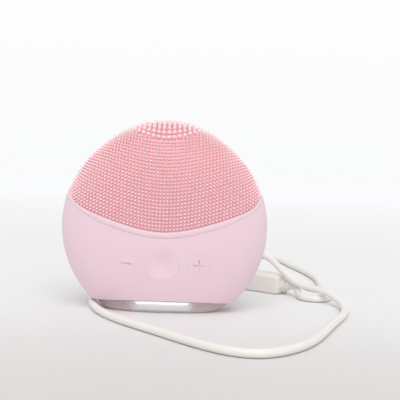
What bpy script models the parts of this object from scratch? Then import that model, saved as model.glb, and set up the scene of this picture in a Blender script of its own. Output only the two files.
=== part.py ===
"""A palm-size facial cleansing brush on a clear foot, with its charging lead plugged in at the back.

Metres, +Z up. The origin is the middle of the foot's underside and the front faces -Y.
"""

import math

import bmesh
import bpy
import numpy as np
from mathutils import Matrix, Vector

# Body: a lens turned about Y, whose section is a superellipse
BODY_RADIUS = 0.0384
BODY_HALF_DEPTH = 0.0158
BODY_CENTRE_HEIGHT = 0.0311
LENS_POWER = 2.4
LENS_STEPS = 40
LENS_ROWS = 14

# Clearances and walls
GAP = 0.0003
SKIN_WALL = 0.0022
SHELL_WALL = 0.0016
GASKET_THICKNESS = 0.0010
REACH = 0.06

# Clear foot under the skin
FOOT_HEIGHT = 0.0047
FOOT_ARCH_RADIUS = 0.231
FOOT_INSET = 0.0010
FOOT_WALL = 0.0018
FOOT_FLOOR = 0.0012
FOOT_HALF_WIDTH = math.sqrt((BODY_RADIUS - FOOT_INSET) ** 2 - BODY_CENTRE_HEIGHT**2)
FOOT_POST_SHARE = 0.78
FOOT_POST_X = FOOT_POST_SHARE * FOOT_HALF_WIDTH
FOOT_POST_Y = 0.0025
FOOT_POST_RADIUS = 0.0018
GUIDE_SHARE = 0.61
GUIDE_TAPER_SHARE = 0.74
GUIDE_TOP_HALF_WIDTH = GUIDE_SHARE * FOOT_HALF_WIDTH
GUIDE_BOTTOM_HALF_WIDTH = GUIDE_TAPER_SHARE * GUIDE_TOP_HALF_WIDTH
GUIDE_HALF_DEPTH = 0.0045
GUIDE_TOP_DROP = 0.0007

# Brush pads: a round window above a seam shaped like a smile, open at the crown
PAD_RECESS = 0.0012
PAD_EDGE = 0.0018
PAD_RADIUS = BODY_RADIUS - PAD_EDGE
SEAM_HEIGHT = 0.0299
SEAM_RADIUS = 0.0716
CROWN_HALF_WIDTH = 0.0122
CROWN_DROP = 0.0066
CROWN_HEIGHT = BODY_CENTRE_HEIGHT + BODY_RADIUS - CROWN_DROP
CROWN_RISE = CROWN_DROP - PAD_RECESS
CROWN_RADIUS = (CROWN_HALF_WIDTH**2 + CROWN_RISE**2) / (2 * CROWN_RISE)
PAD_MARGIN = 0.0012
STRAND_ROOT = 0.0005
FINE_STRAND = {"pitch": 0.0031, "length": 0.00165, "root": 0.00075, "tip": 0.00045}
BACK_STRAND = {"pitch": 0.0044, "length": 0.00165, "root": 0.00095, "tip": 0.00065}
CROWN_STRAND = {"pitch": 0.0030, "length": 0.0027, "root": 0.00105, "tip": 0.00075}
CROWN_ROWS = 4

# Keys under the front skin
KEY_HEIGHT = 0.01855
KEY_SPACING = 0.0133
POWER_KEY_RADIUS = 0.0062
STEP_KEY_RADIUS = 0.0045
KEY_TRAVEL = 0.0004
DIMPLE_RADIUS = 0.0240
DIMPLE_DEPTH = 0.0008
MARK_LENGTH = 0.0043
MARK_WIDTH = 0.0006
MARK_DEPTH = 0.0004
PUSHER_MARGIN = 0.0008
PUSHER_FLANGE_DEPTH = 0.0056
PUSHER_FLANGE_BACK = PUSHER_FLANGE_DEPTH - BODY_HALF_DEPTH
PUSHER_STEM_RADIUS = 0.0018

# Circuit board, upright behind the keys
BOARD_SETBACK = 0.0047
BOARD_FRONT = PUSHER_FLANGE_BACK + BOARD_SETBACK
BOARD_THICKNESS = 0.0010
BOARD_HALF_WIDTH = 0.0178
BOARD_LOW = 0.0085
BOARD_HIGH = 0.0278
BOARD_BOSS_X = 0.0153
BOARD_BOSS_HEIGHTS = (0.0107, 0.0259)
BOARD_BOSS_RADIUS = 0.0019
SWITCH_SIZE = 0.0045
SWITCH_DEPTH = 0.0018
PLUNGER_RADIUS = 0.0011
PLUNGER_LENGTH = 0.0016
PLUNGER_PROUD = 0.0010
CHIP_SIZE = 0.0060
CHIP_DEPTH = 0.0010
CHIP_PLACE = (-0.0090, 0.0195)
LED_SIZE = 0.0020
LED_DEPTH = 0.0012

# Screws: head and shank of one small size, with pilot and clearance holes
SCREW_HEAD_RADIUS = 0.0017
SCREW_HEAD_HEIGHT = 0.0010
SCREW_SHANK_RADIUS = 0.0008
SCREW_CLEARANCE = 0.0003
BOSS_RADIUS = 0.0022
SHELL_BOSSES = ((0.0232, 0.0185), (0.0245, 0.0460))
SHELL_SCREW_LENGTH = 0.0090
BOARD_SCREW_LENGTH = 0.0040
FOOT_SCREW_LENGTH = 0.0048
BRACKET_SCREW_LENGTH = 0.0038

# Battery on two ribs of the rear shell
BATTERY_SIZE = (0.034, 0.0085)
BATTERY_BACK = 0.0040
BATTERY_LOW = 0.0295
BATTERY_HEADROOM = 0.0013
TAPE_THICKNESS = 0.0008
TAPE_SIZE = (0.024, 0.010)
RIB_X = 0.008
RIB_THICKNESS = 0.0016

# Vibration motor across the upper body
MOTOR_DROP = 0.0175
MOTOR_HEIGHT = BODY_CENTRE_HEIGHT + BODY_RADIUS - MOTOR_DROP
MOTOR_RADIUS = 0.0044
MOTOR_LENGTH = 0.0140
MOTOR_LEFT = -0.0075
SHAFT_RADIUS = 0.00075
SHAFT_OVERHANG = 0.0070
CAP_LENGTH = 0.0014
CAP_RADIUS = 0.0042
BEARING_RADIUS = 0.0020
BEARING_LENGTH = 0.0012
SLEEVE_WALL = 0.0009
SLEEVE_LENGTH = 0.0095
WEIGHT_RADIUS = 0.0040
WEIGHT_LENGTH = 0.0050
WEIGHT_CUT = 0.0013
BRACKET_WALL = 0.0013
BRACKET_WIDTH = 0.0080
BRACKET_FRONT = -0.0010
EAR_THICKNESS = 0.0012
EAR_HALF_LENGTH = 0.0100
EAR_HALF_HEIGHT = 0.0030
EAR_SCREW_X = 0.0077

# Charging jack in the rear wall, and the plug in it
JACK_HEIGHT = 0.0180
JACK_RADIUS = 0.0032
JACK_INSET = 0.0012
JACK_LENGTH = 0.0101
JACK_OUTER_END = BODY_HALF_DEPTH - JACK_INSET
JACK_INNER_END = JACK_OUTER_END - JACK_LENGTH
JACK_BORE_RADIUS = 0.0019
JACK_BORE_DEPTH = 0.0086
JACK_MOUTH_RADIUS = 0.0042
PIN_RADIUS = 0.0016
PIN_LENGTH = 0.0078
PLUG_RADIUS = 0.0035
PLUG_LENGTH = 0.0096
RELIEF_LENGTH = 0.0062

# Wires inside the body
WIRE_RADIUS = 0.0005
WIRE_SPACING = 0.0016

# USB plug, lying flat behind the brush on the right
USB_PLACE = (0.0493, 0.0406)
USB_DIRECTION = (0.743, -0.669)
USB_BODY = (0.0240, 0.0140, 0.0080)
USB_BODY_TAIL_WIDTH = 0.0090
USB_BODY_ROUND = 0.0016
USB_SHELL = (0.0122, 0.0120, 0.0045)
USB_SHELL_WALL = 0.0004
USB_TONGUE_THICKNESS = 0.0018
USB_RELIEF_LENGTH = 0.0035

# Charging lead: the route from the plug in the jack to the USB plug
CORD_DIAMETER = 0.0028
CORD_REST = 0.0015
CORD_POINTS = 80
BEND_STEP = 0.010
CORD_ROUTE = (
    (0.0002, 0.0370, 0.0180),
    (0.0030, 0.0450, 0.0180),
    (0.0110, 0.0506, 0.0178),
    (0.0310, 0.0506, 0.0169),
    (0.0423, 0.0454, 0.0151),
    (0.0503, 0.0369, 0.0087),
    (0.0542, 0.0326, 0.0062),
    (0.0580, 0.0282, 0.0051),
    (0.0616, 0.0238, 0.0050),
    (0.0650, 0.0195, 0.0046),
    (0.0683, 0.0132, 0.0029),
    (0.0694, 0.0050, 0.0016),
    (0.0615, -0.0237, CORD_REST),
    (0.0531, -0.0467, CORD_REST),
    (0.0404, -0.0676, CORD_REST),
    (0.0312, -0.0727, CORD_REST),
    (0.0228, -0.0704, CORD_REST),
    (0.0159, -0.0648, CORD_REST),
    (-0.0002, -0.0462, CORD_REST),
    (-0.0172, -0.0245, CORD_REST),
    (-0.0229, -0.0131, CORD_REST),
    (-0.0260, -0.0030, CORD_REST),
    (-0.0276, 0.0100, CORD_REST),
    (-0.0240, 0.0520, CORD_REST),
    (0.0040, 0.1240, CORD_REST),
    (0.0220, 0.1500, CORD_REST),
    (0.0380, 0.1600, CORD_REST),
    (0.0520, 0.1520, CORD_REST),
    (0.0600, 0.1280, CORD_REST),
    (0.0686, 0.0760, CORD_REST),
    (0.0674, 0.0460, CORD_REST),
    (0.0670, 0.0288, CORD_REST),
    (0.0653, 0.0245, CORD_REST),
    (0.0611, 0.0227, CORD_REST),
    (0.0569, 0.0245, CORD_REST),
    (0.0551, 0.0290, 0.0016),
)

# Facets
ROUND_SIDES = 20
SMALL_SIDES = 8
WINDOW_SIDES = 80
STRAND_SIDES = 3
ARCH_SIDES = 240

# Colours of the finishes
PALE_SILICONE = (0.84, 0.63, 0.70)
BRUSH_SILICONE = (0.83, 0.42, 0.46)
WHITE_PLASTIC = (0.86, 0.86, 0.84)
CLEAR_PLASTIC = (0.80, 0.78, 0.79)
FROSTED_PLASTIC = (0.90, 0.90, 0.91)
GREY_RUBBER = (0.10, 0.10, 0.11)
DARK_PLASTIC = (0.02, 0.02, 0.025)
STEEL = (0.55, 0.55, 0.56)
BOARD_GREEN = (0.02, 0.12, 0.05)
CELL_SILVER = (0.45, 0.46, 0.48)
FOAM = (0.30, 0.30, 0.31)
BRASS = (0.60, 0.42, 0.15)
WIRE_RED = (0.55, 0.02, 0.02)
WIRE_BLACK = (0.02, 0.02, 0.02)
CORD_WHITE = (0.84, 0.83, 0.80)

AXES = {"X": Vector((1, 0, 0)), "Y": Vector((0, 1, 0)), "Z": Vector((0, 0, 1))}

for old in list(bpy.data.objects):
    bpy.data.objects.remove(old)
PARTS = bpy.data.collections.new("facial_cleansing_brush")
CUTTERS = bpy.data.collections.new("cutters")
bpy.context.scene.collection.children.link(PARTS)
bpy.context.scene.collection.children.link(CUTTERS)


# Building blocks

def helper(name, bm, place=(0, 0, 0)):
    """Makes a hidden helper object, which a part may later be cut from or joined with."""
    mesh = bpy.data.meshes.new(name)
    bm.to_mesh(mesh)
    bm.free()
    obj = bpy.data.objects.new(name, mesh)
    obj.location = place
    obj.hide_render = True
    obj.display_type = "WIRE"
    CUTTERS.objects.link(obj)
    return obj


def bake(obj):
    """Replaces an object's mesh by what its modifiers make of it."""
    graph = bpy.context.evaluated_depsgraph_get()
    mesh = bpy.data.meshes.new_from_object(obj.evaluated_get(graph))
    obj.modifiers.clear()
    obj.data = mesh
    return obj


def combine(obj, operation, *others):
    """Cuts, joins or trims an object with the others, in turn."""
    for other in others:
        step = obj.modifiers.new(operation.lower(), "BOOLEAN")
        step.operation = operation
        step.solver = "EXACT"
        step.object = other
        bake(obj)
    return obj


def cut(obj, *others):
    return combine(obj, "DIFFERENCE", *others)


def join(obj, *others):
    return combine(obj, "UNION", *others)


def trim(obj, *others):
    return combine(obj, "INTERSECT", *others)


def copy_of(obj, name):
    twin = bpy.data.objects.new(name, obj.data.copy())
    twin.location = obj.location
    twin.hide_render = True
    twin.display_type = "WIRE"
    CUTTERS.objects.link(twin)
    return twin


def finish(obj, colour, roughness=0.5, metallic=0.0, clear=0.0):
    """Turns a helper into a part with its own material and smooth round faces."""
    paint = bpy.data.materials.new(obj.name)
    paint.use_nodes = True
    shader = paint.node_tree.nodes["Principled BSDF"]
    shader.inputs["Base Color"].default_value = (*colour, 1)
    shader.inputs["Roughness"].default_value = roughness
    shader.inputs["Metallic"].default_value = metallic
    shader.inputs["Transmission Weight"].default_value = clear
    obj.data.materials.clear()
    obj.data.materials.append(paint)
    if obj.type == "MESH":
        obj.data.shade_smooth()
        obj.data.set_sharp_from_angle(angle=math.radians(35))
    obj.hide_render = False
    obj.display_type = "TEXTURED"
    CUTTERS.objects.unlink(obj)
    PARTS.objects.link(obj)
    return obj


def anchor(name, place, turn=0.0):
    """An empty on a joint's axis, or at a group's own origin."""
    empty = bpy.data.objects.new(name, None)
    empty.empty_display_size = 0.005
    empty.location = place
    empty.rotation_euler = (0, 0, turn)
    PARTS.objects.link(empty)
    return empty


def hang(empty, *objects):
    """Parents objects to an empty and leaves them where they are."""
    bpy.context.view_layer.update()
    for obj in objects:
        obj.parent = empty
        obj.matrix_parent_inverse = empty.matrix_world.inverted()


def carry(empty, *objects):
    """Parents objects that were modelled in the empty's own frame."""
    for obj in objects:
        obj.parent = empty


def cuboid(name, low, high):
    low, high = Vector(low), Vector(high)
    bm = bmesh.new()
    bmesh.ops.create_cube(bm, size=1, matrix=Matrix.Diagonal((*(high - low), 1)))
    return helper(name, bm, (low + high) / 2)


def rod(name, axis, radius, start, end, across, sides=ROUND_SIDES, end_radius=None):
    """A round bar, or a cone, along an axis; across holds its other two coordinates in XYZ order."""
    tip = radius if end_radius is None else end_radius
    turn = Vector((0, 0, 1)).rotation_difference(AXES[axis]).to_matrix().to_4x4()
    bm = bmesh.new()
    bmesh.ops.create_cone(
        bm, cap_ends=True, segments=sides, radius1=radius, radius2=tip, depth=end - start, matrix=turn
    )
    place = list(across)
    place.insert("XYZ".index(axis), (start + end) / 2)
    return helper(name, bm, place)


def ring(name, axis, radius, bore, start, end, across, sides=ROUND_SIDES):
    outer = rod(name, axis, radius, start, end, across, sides)
    return cut(outer, rod(name + "_bore", axis, bore, start - GAP, end + GAP, across, sides))


def screw(name, axis, head, direction, length, across):
    """A pan-head screw: its head starts at head, and its shank runs on in the direction given."""
    under = head + direction * SCREW_HEAD_HEIGHT
    tip = under + direction * length
    inside = under - direction * SCREW_HEAD_HEIGHT / 2
    spans = (sorted((head, under)), sorted((inside, tip)))
    top = rod(name, axis, SCREW_HEAD_RADIUS, *spans[0], across, SMALL_SIDES)
    shank = rod(name + "_shank", axis, SCREW_SHANK_RADIUS, *spans[1], across, SMALL_SIDES)
    return join(top, shank)


def tube(name, points, radius, bevel_resolution):
    curve = bpy.data.curves.new(name, "CURVE")
    curve.dimensions = "3D"
    curve.bevel_depth = radius
    curve.bevel_resolution = bevel_resolution
    curve.use_fill_caps = True
    spline = curve.splines.new("POLY")
    spline.points.add(len(points) - 1)
    for point, place in zip(spline.points, points):
        point.co = (*place, 1)
    obj = bpy.data.objects.new(name, curve)
    CUTTERS.objects.link(obj)
    return obj


def smooth_route(route, count):
    """Points on the natural cubic spline through the route's own points, closer together at its bends."""
    knots = np.array(route, float)
    last = len(knots) - 1
    chords = np.linalg.norm(np.diff(knots, axis=0), axis=1)
    slopes = np.diff(knots, axis=0) / chords[:, None]
    system = np.eye(last + 1)
    turns = np.zeros_like(knots)
    for i in range(1, last):
        system[i, i - 1 : i + 2] = chords[i - 1], 2 * (chords[i - 1] + chords[i]), chords[i]
        turns[i] = 6 * (slopes[i] - slopes[i - 1])
    curves = np.linalg.solve(system, turns)
    places = np.concatenate([[0], np.cumsum(chords)])
    fine = np.linspace(0, places[-1], 40 * last)
    part = np.clip(np.searchsorted(places, fine) - 1, 0, last - 1)
    after = ((fine - places[part]) / chords[part])[:, None]
    before = 1 - after
    sway = (before**3 - before) * curves[part] + (after**3 - after) * curves[part + 1]
    line = before * knots[part] + after * knots[part + 1] + sway * (chords[part] ** 2)[:, None] / 6
    lengths = np.linalg.norm(np.diff(line, axis=0), axis=1)
    headings = np.diff(line, axis=0) / lengths[:, None]
    turning = np.linalg.norm(np.diff(headings, axis=0, prepend=headings[:1]), axis=1)
    along = np.concatenate([[0], np.cumsum(lengths + BEND_STEP * turning)])
    steps = np.linspace(0, along[-1], count)
    return np.stack([np.interp(steps, along, line[:, k]) for k in range(3)], axis=1)


# The lens form that every layer of the body follows

def lens(name, inset):
    radius, half_depth = BODY_RADIUS - inset, BODY_HALF_DEPTH - inset
    bm = bmesh.new()
    last = None
    for row in range(LENS_ROWS + 1):
        angle = math.pi * row / LENS_ROWS
        out = abs(math.sin(angle)) ** (2 / LENS_POWER)
        along = -math.copysign(abs(math.cos(angle)) ** (2 / LENS_POWER), math.cos(angle))
        vert = bm.verts.new((radius * out, half_depth * along, 0))
        if last:
            bm.edges.new((last, vert))
        last = vert
    obj = helper(name, bm, (0, 0, BODY_CENTRE_HEIGHT))
    turn = obj.modifiers.new("turn", "SCREW")
    turn.axis = "Y"
    turn.steps = turn.render_steps = LENS_STEPS
    turn.use_merge_vertices = True
    turn.merge_threshold = 0.00001
    bake(obj)
    bm = bmesh.new()
    bm.from_mesh(obj.data)
    bmesh.ops.recalc_face_normals(bm, faces=bm.faces)
    bm.to_mesh(obj.data)
    bm.free()
    return obj


def lens_point(x, z, inset, side):
    """The point and outward normal of the lens at (x, z), on the front (-1) or the rear (+1)."""
    radius, half_depth = BODY_RADIUS - inset, BODY_HALF_DEPTH - inset
    out = math.hypot(x, z - BODY_CENTRE_HEIGHT)
    share = min(out / radius, 0.9999)
    depth = (1 - share**LENS_POWER) ** (1 / LENS_POWER)
    steep = (depth**(LENS_POWER - 1)) / half_depth
    slope = share ** (LENS_POWER - 1) / radius
    aside = Vector((x, 0, z - BODY_CENTRE_HEIGHT)).normalized()
    normal = (aside * slope + Vector((0, side, 0)) * steep).normalized()
    return Vector((x, side * half_depth * depth, z)), normal


def front_of(face):
    """A block that holds everything in front of an upright plane."""
    return cuboid("front_half", (-REACH, -REACH, -REACH), (REACH, face, 2 * REACH))


def rear_of(face):
    return cuboid("rear_half", (-REACH, face, -REACH), (REACH, REACH, 2 * REACH))


def below(height):
    return cuboid("below", (-REACH, -REACH, -REACH), (REACH, REACH, height))


def foot_arch(top):
    """A flat arch across the body, which parts the skin from the foot."""
    across = (0, top - FOOT_ARCH_RADIUS)
    return rod("foot_arch", "Y", FOOT_ARCH_RADIUS, -REACH, REACH, across, ARCH_SIDES)


SHELL_INSET = SKIN_WALL + GAP
SHELL_INNER = SHELL_INSET + SHELL_WALL
SHELL_FLOOR = FOOT_HEIGHT + GAP
SHELL_EDGE = GASKET_THICKNESS / 2 + GAP
skin_outer = lens("skin_outer", 0)
skin_inner = lens("skin_inner", SKIN_WALL)
pad_surface = lens("pad_surface", PAD_RECESS)
shell_outer = lens("shell_outer", SHELL_INSET)
shell_middle = lens("shell_middle", SHELL_INSET + SHELL_WALL / 2)
shell_inner = cut(lens("shell_inner", SHELL_INNER), below(SHELL_FLOOR + SHELL_WALL))
front_half, rear_half = front_of(-GAP / 2), rear_of(GAP / 2)
KEYS = {
    "minus": (-KEY_SPACING, STEP_KEY_RADIUS),
    "power": (0.0, POWER_KEY_RADIUS),
    "plus": (KEY_SPACING, STEP_KEY_RADIUS),
}


# Silicone brush pads

def window(name, grow, near, far):
    """The pad's outline run through from near to far: a round window above the seam, open at the crown."""
    across = (0, BODY_CENTRE_HEIGHT)
    outline = rod(name, "Y", PAD_RADIUS + grow, near, far, across, WINDOW_SIDES)
    above = (0, SEAM_HEIGHT + SEAM_RADIUS)
    trim(outline, rod("seam", "Y", SEAM_RADIUS + grow, near - GAP, far + GAP, above, WINDOW_SIDES))
    half = CROWN_HALF_WIDTH + grow
    crown = cuboid("crown", (-half, near, CROWN_HEIGHT), (half, far, 2 * REACH))
    return join(outline, crown)


def fine_places(pitch):
    """Places in rows that follow the seam, up to the crown."""
    row = 0
    while True:
        sweep = SEAM_RADIUS - PAD_MARGIN - FINE_STRAND["root"] - row * pitch
        if SEAM_HEIGHT + SEAM_RADIUS - sweep > CROWN_HEIGHT + PAD_RADIUS:
            return
        count = int(PAD_RADIUS / pitch) + 1
        for step in range(-count, count + 1):
            angle = (step + 0.5 * (row % 2)) * pitch / sweep
            x = sweep * math.sin(angle)
            z = SEAM_HEIGHT + SEAM_RADIUS - sweep * math.cos(angle)
            in_window = math.hypot(x, z - BODY_CENTRE_HEIGHT) < PAD_RADIUS - PAD_MARGIN
            from_crown = math.hypot(x, z - CROWN_HEIGHT - CROWN_RADIUS)
            if in_window and from_crown > CROWN_RADIUS + pitch / 3:
                yield x, z
        row += 1


def crown_places():
    """Places in rings about the lens axis, from the top edge down to the crown's lower arc."""
    pitch = CROWN_STRAND["pitch"]
    surface = BODY_RADIUS - PAD_RECESS
    for row in range(CROWN_ROWS):
        angle = math.pi / 2 - (row + 0.55) * pitch / (BODY_HALF_DEPTH - PAD_RECESS)
        out = surface * math.sin(angle) ** (2 / LENS_POWER)
        reach = int(CROWN_HALF_WIDTH / pitch)
        for step in range(-reach, reach + 1):
            turn = (step + 0.5 * (row % 2)) * pitch / out
            x = out * math.sin(turn)
            z = BODY_CENTRE_HEIGHT + out * math.cos(turn)
            in_crown = math.hypot(x, z - CROWN_HEIGHT - CROWN_RADIUS) < CROWN_RADIUS
            if in_crown and abs(x) < CROWN_HALF_WIDTH - PAD_MARGIN:
                yield x, z


def strands(name, side, kinds):
    """Few-sided strands that stand square to the pad, each rooted in it."""
    bm = bmesh.new()
    for places, kind in kinds:
        for x, z in places:
            root, normal = lens_point(x, z, PAD_RECESS, side)
            turn = Vector((0, 0, 1)).rotation_difference(normal).to_matrix().to_4x4()
            middle = root + normal * (kind["length"] - STRAND_ROOT) / 2
            bmesh.ops.create_cone(
                bm,
                cap_ends=True,
                segments=STRAND_SIDES,
                radius1=kind["root"],
                radius2=kind["tip"],
                depth=kind["length"] + STRAND_ROOT,
                matrix=Matrix.Translation(middle) @ turn,
            )
    return helper(name, bm)


def brush_pad(name, side, kind):
    near, far = sorted((side * GAP / 2, side * REACH))
    pad = window(name, 0, near, far)
    trim(pad, pad_surface)
    cut(pad, skin_inner)
    kinds = ((fine_places(kind["pitch"]), kind), (crown_places(), CROWN_STRAND))
    join(pad, strands(name + "_strands", side, kinds))
    return finish(pad, BRUSH_SILICONE, 0.55)


brush_pad("front_brush_pad", -1, FINE_STRAND)
brush_pad("rear_brush_pad", 1, BACK_STRAND)


# Smooth silicone skin in two halves, bonded along the side

def skin(name, half, near, far):
    layer = cut(copy_of(skin_outer, name), skin_inner)
    trim(layer, half)
    cut(layer, foot_arch(FOOT_HEIGHT + GAP), window(name + "_window", GAP, near, far))
    return layer


front_skin = skin("front_skin", front_half, -REACH, GAP)
for label, (x, radius) in KEYS.items():
    cut(front_skin, rod(label + "_hole", "Y", radius + GAP, -REACH, 0, (x, KEY_HEIGHT)))
finish(front_skin, PALE_SILICONE, 0.45)

rear_skin = skin("rear_skin", rear_half, -GAP, REACH)
cut(rear_skin, rod("jack_mouth", "Y", JACK_MOUTH_RADIUS, 0, REACH, (0, JACK_HEIGHT)))
finish(rear_skin, PALE_SILICONE, 0.45)


# Rigid inner shells, sealed by a gasket and drawn together by four screws

def hollow(name):
    block = cut(copy_of(shell_outer, name), below(SHELL_FLOOR))
    return cut(block, shell_inner)


def boss(name, start, end, across, radius=BOSS_RADIUS):
    """A post that grows out of the middle of the shell's wall."""
    return trim(rod(name, "Y", radius, start, end, across, SMALL_SIDES), shell_middle)


PILOT_RADIUS = SCREW_SHANK_RADIUS + GAP
HEAD_ROOM = SCREW_HEAD_RADIUS + SCREW_CLEARANCE
shell_corners = [(side * x, z) for x, z in SHELL_BOSSES for side in (-1, 1)]
board_corners = [(side * BOARD_BOSS_X, z) for z in BOARD_BOSS_HEIGHTS for side in (-1, 1)]
BOARD_BACK = BOARD_FRONT + BOARD_THICKNESS
SHELL_HEAD = SHELL_SCREW_LENGTH / 2 + SHELL_EDGE
BOARD_PILOT_END = BOARD_FRONT - BOARD_SCREW_LENGTH
SHELL_PILOT_END = SHELL_HEAD - SHELL_SCREW_LENGTH - GAP

front_shell = trim(hollow("front_shell"), front_of(-SHELL_EDGE))
for corner in shell_corners:
    join(front_shell, boss("boss", -REACH, -SHELL_EDGE, corner))
    cut(front_shell, rod("pilot", "Y", PILOT_RADIUS, SHELL_PILOT_END, 0, corner, SMALL_SIDES))
for corner in board_corners:
    join(front_shell, boss("boss", -REACH, BOARD_FRONT - GAP, corner, BOARD_BOSS_RADIUS))
    cut(front_shell, rod("pilot", "Y", PILOT_RADIUS, BOARD_PILOT_END, 0, corner, SMALL_SIDES))
for label, (x, radius) in KEYS.items():
    cut(front_shell, rod(label + "_port", "Y", radius + GAP, -REACH, BOARD_FRONT, (x, KEY_HEIGHT)))
finish(front_shell, WHITE_PLASTIC)

MOTOR_RIGHT = MOTOR_LEFT + MOTOR_LENGTH
MOTOR_MIDDLE = (MOTOR_LEFT + MOTOR_RIGHT) / 2
SLEEVE_RADIUS = MOTOR_RADIUS + GAP + SLEEVE_WALL
BRACKET_BORE = SLEEVE_RADIUS + GAP
EAR_BACK = BRACKET_BORE + BRACKET_WALL
EAR_FRONT = EAR_BACK - EAR_THICKNESS
TAPE_FRONT = BATTERY_BACK + GAP
RIB_FRONT = TAPE_FRONT + TAPE_THICKNESS + GAP
BATTERY_HIGH = MOTOR_HEIGHT - EAR_BACK - BATTERY_HEADROOM
ear_screws = [(MOTOR_MIDDLE + side * EAR_SCREW_X, MOTOR_HEIGHT) for side in (-1, 1)]

rear_shell = trim(hollow("rear_shell"), rear_of(SHELL_EDGE))
for corner in shell_corners:
    join(rear_shell, boss("boss", SHELL_EDGE, REACH, corner))
    cut(rear_shell, rod("clearance", "Y", PILOT_RADIUS, 0, REACH, corner, SMALL_SIDES))
    cut(rear_shell, rod("head_room", "Y", HEAD_ROOM, SHELL_HEAD, REACH, corner, SMALL_SIDES))
for corner in ear_screws:
    join(rear_shell, boss("boss", EAR_BACK + GAP, REACH, corner, BOARD_BOSS_RADIUS))
    ear_pilot_end = EAR_FRONT + BRACKET_SCREW_LENGTH + GAP
    cut(rear_shell, rod("pilot", "Y", PILOT_RADIUS, 0, ear_pilot_end, corner, SMALL_SIDES))
for side in (-1, 1):
    middle = side * RIB_X
    rib_low = (middle - RIB_THICKNESS / 2, RIB_FRONT, BATTERY_LOW)
    rib_high = (middle + RIB_THICKNESS / 2, REACH, BATTERY_HIGH)
    join(rear_shell, trim(cuboid("rib", rib_low, rib_high), shell_middle))
    foot_hole = (side * FOOT_POST_X, FOOT_POST_Y)
    cut(rear_shell, rod("foot_hole", "Z", PILOT_RADIUS, 0, BATTERY_LOW, foot_hole, SMALL_SIDES))
cut(rear_shell, rod("jack_port", "Y", JACK_RADIUS + GAP, 0, REACH, (0, JACK_HEIGHT)))
finish(rear_shell, WHITE_PLASTIC)

gasket = trim(hollow("shell_gasket"), front_of(GASKET_THICKNESS / 2))
trim(gasket, rear_of(-GASKET_THICKNESS / 2))
finish(gasket, GREY_RUBBER, 0.7)
for number, corner in enumerate(shell_corners, 1):
    head = SHELL_HEAD + GAP + SCREW_HEAD_HEIGHT
    finish(screw(f"shell_screw_{number}", "Y", head, -1, SHELL_SCREW_LENGTH, corner), STEEL, 0.35, 1.0)


# Clear foot with a frosted light guide, held from above by two screws

foot = trim(cut(lens("clear_foot", FOOT_INSET), below(0)), foot_arch(FOOT_HEIGHT))
foot_hollow = cut(lens("foot_hollow", FOOT_INSET + FOOT_WALL), below(FOOT_FLOOR))
cut(foot, foot_hollow)
SHELL_FLOOR_TOP = SHELL_FLOOR + SHELL_WALL
FOOT_SCREW_HEAD = SHELL_FLOOR_TOP + GAP + SCREW_HEAD_HEIGHT
FOOT_SCREW_TIP = SHELL_FLOOR_TOP + GAP - FOOT_SCREW_LENGTH
foot_posts = [(side * FOOT_POST_X, FOOT_POST_Y) for side in (-1, 1)]
for place in foot_posts:
    post = rod("post", "Z", FOOT_POST_RADIUS, FOOT_FLOOR / 2, FOOT_HEIGHT, place, SMALL_SIDES)
    join(foot, trim(post, foot_arch(FOOT_HEIGHT - GAP)))
    cut(foot, rod("pilot", "Z", PILOT_RADIUS, FOOT_SCREW_TIP - GAP, FOOT_HEIGHT, place, SMALL_SIDES))
finish(foot, CLEAR_PLASTIC, 0.08, 0.0, 0.8)
for label, place in zip(("left", "right"), foot_posts):
    foot_screw = screw(f"foot_screw_{label}", "Z", FOOT_SCREW_HEAD, -1, FOOT_SCREW_LENGTH, place)
    finish(foot_screw, STEEL, 0.35, 1.0)

guide = cuboid(
    "light_guide",
    (-GUIDE_TOP_HALF_WIDTH, -GUIDE_HALF_DEPTH, FOOT_FLOOR + GAP),
    (GUIDE_TOP_HALF_WIDTH, GUIDE_HALF_DEPTH, FOOT_HEIGHT - GUIDE_TOP_DROP),
)
for vert in guide.data.vertices:
    if vert.co.z < 0:
        vert.co.x *= GUIDE_BOTTOM_HALF_WIDTH / GUIDE_TOP_HALF_WIDTH
finish(guide, FROSTED_PLASTIC, 0.4)


# Circuit board with its chip, lamp and four screws

board = cuboid(
    "circuit_board",
    (-BOARD_HALF_WIDTH, BOARD_FRONT, BOARD_LOW),
    (BOARD_HALF_WIDTH, BOARD_BACK, BOARD_HIGH),
)
for corner in board_corners:
    cut(board, rod("hole", "Y", PILOT_RADIUS, -REACH, REACH, corner, SMALL_SIDES))
finish(board, BOARD_GREEN, 0.45)
for number, corner in enumerate(board_corners, 1):
    head = BOARD_BACK + GAP + SCREW_HEAD_HEIGHT
    finish(screw(f"board_screw_{number}", "Y", head, -1, BOARD_SCREW_LENGTH, corner), STEEL, 0.35, 1.0)

chip_x, chip_z = CHIP_PLACE
chip_back = BOARD_BACK + GAP
chip = cuboid(
    "control_chip",
    (chip_x - CHIP_SIZE / 2, chip_back, chip_z - CHIP_SIZE / 2),
    (chip_x + CHIP_SIZE / 2, chip_back + CHIP_DEPTH, chip_z + CHIP_SIZE / 2),
)
finish(chip, DARK_PLASTIC, 0.4)
lamp_back = BOARD_FRONT - GAP
lamp = cuboid(
    "status_lamp",
    (-LED_SIZE / 2, lamp_back - LED_DEPTH, BOARD_LOW),
    (LED_SIZE / 2, lamp_back, BOARD_LOW + LED_SIZE),
)
finish(lamp, FROSTED_PLASTIC, 0.2)


# Three keys: a silicone cap in the skin, a pusher behind it and a switch on the board

def dimple(cap, x):
    """A shallow round hollow over the whole power key."""
    face, _ = lens_point(x, KEY_HEIGHT, 0, -1)
    bm = bmesh.new()
    bmesh.ops.create_uvsphere(bm, u_segments=48, v_segments=32, radius=DIMPLE_RADIUS)
    centre = (x, face.y + DIMPLE_DEPTH - DIMPLE_RADIUS, KEY_HEIGHT)
    cut(cap, helper("dimple", bm, centre))


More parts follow.
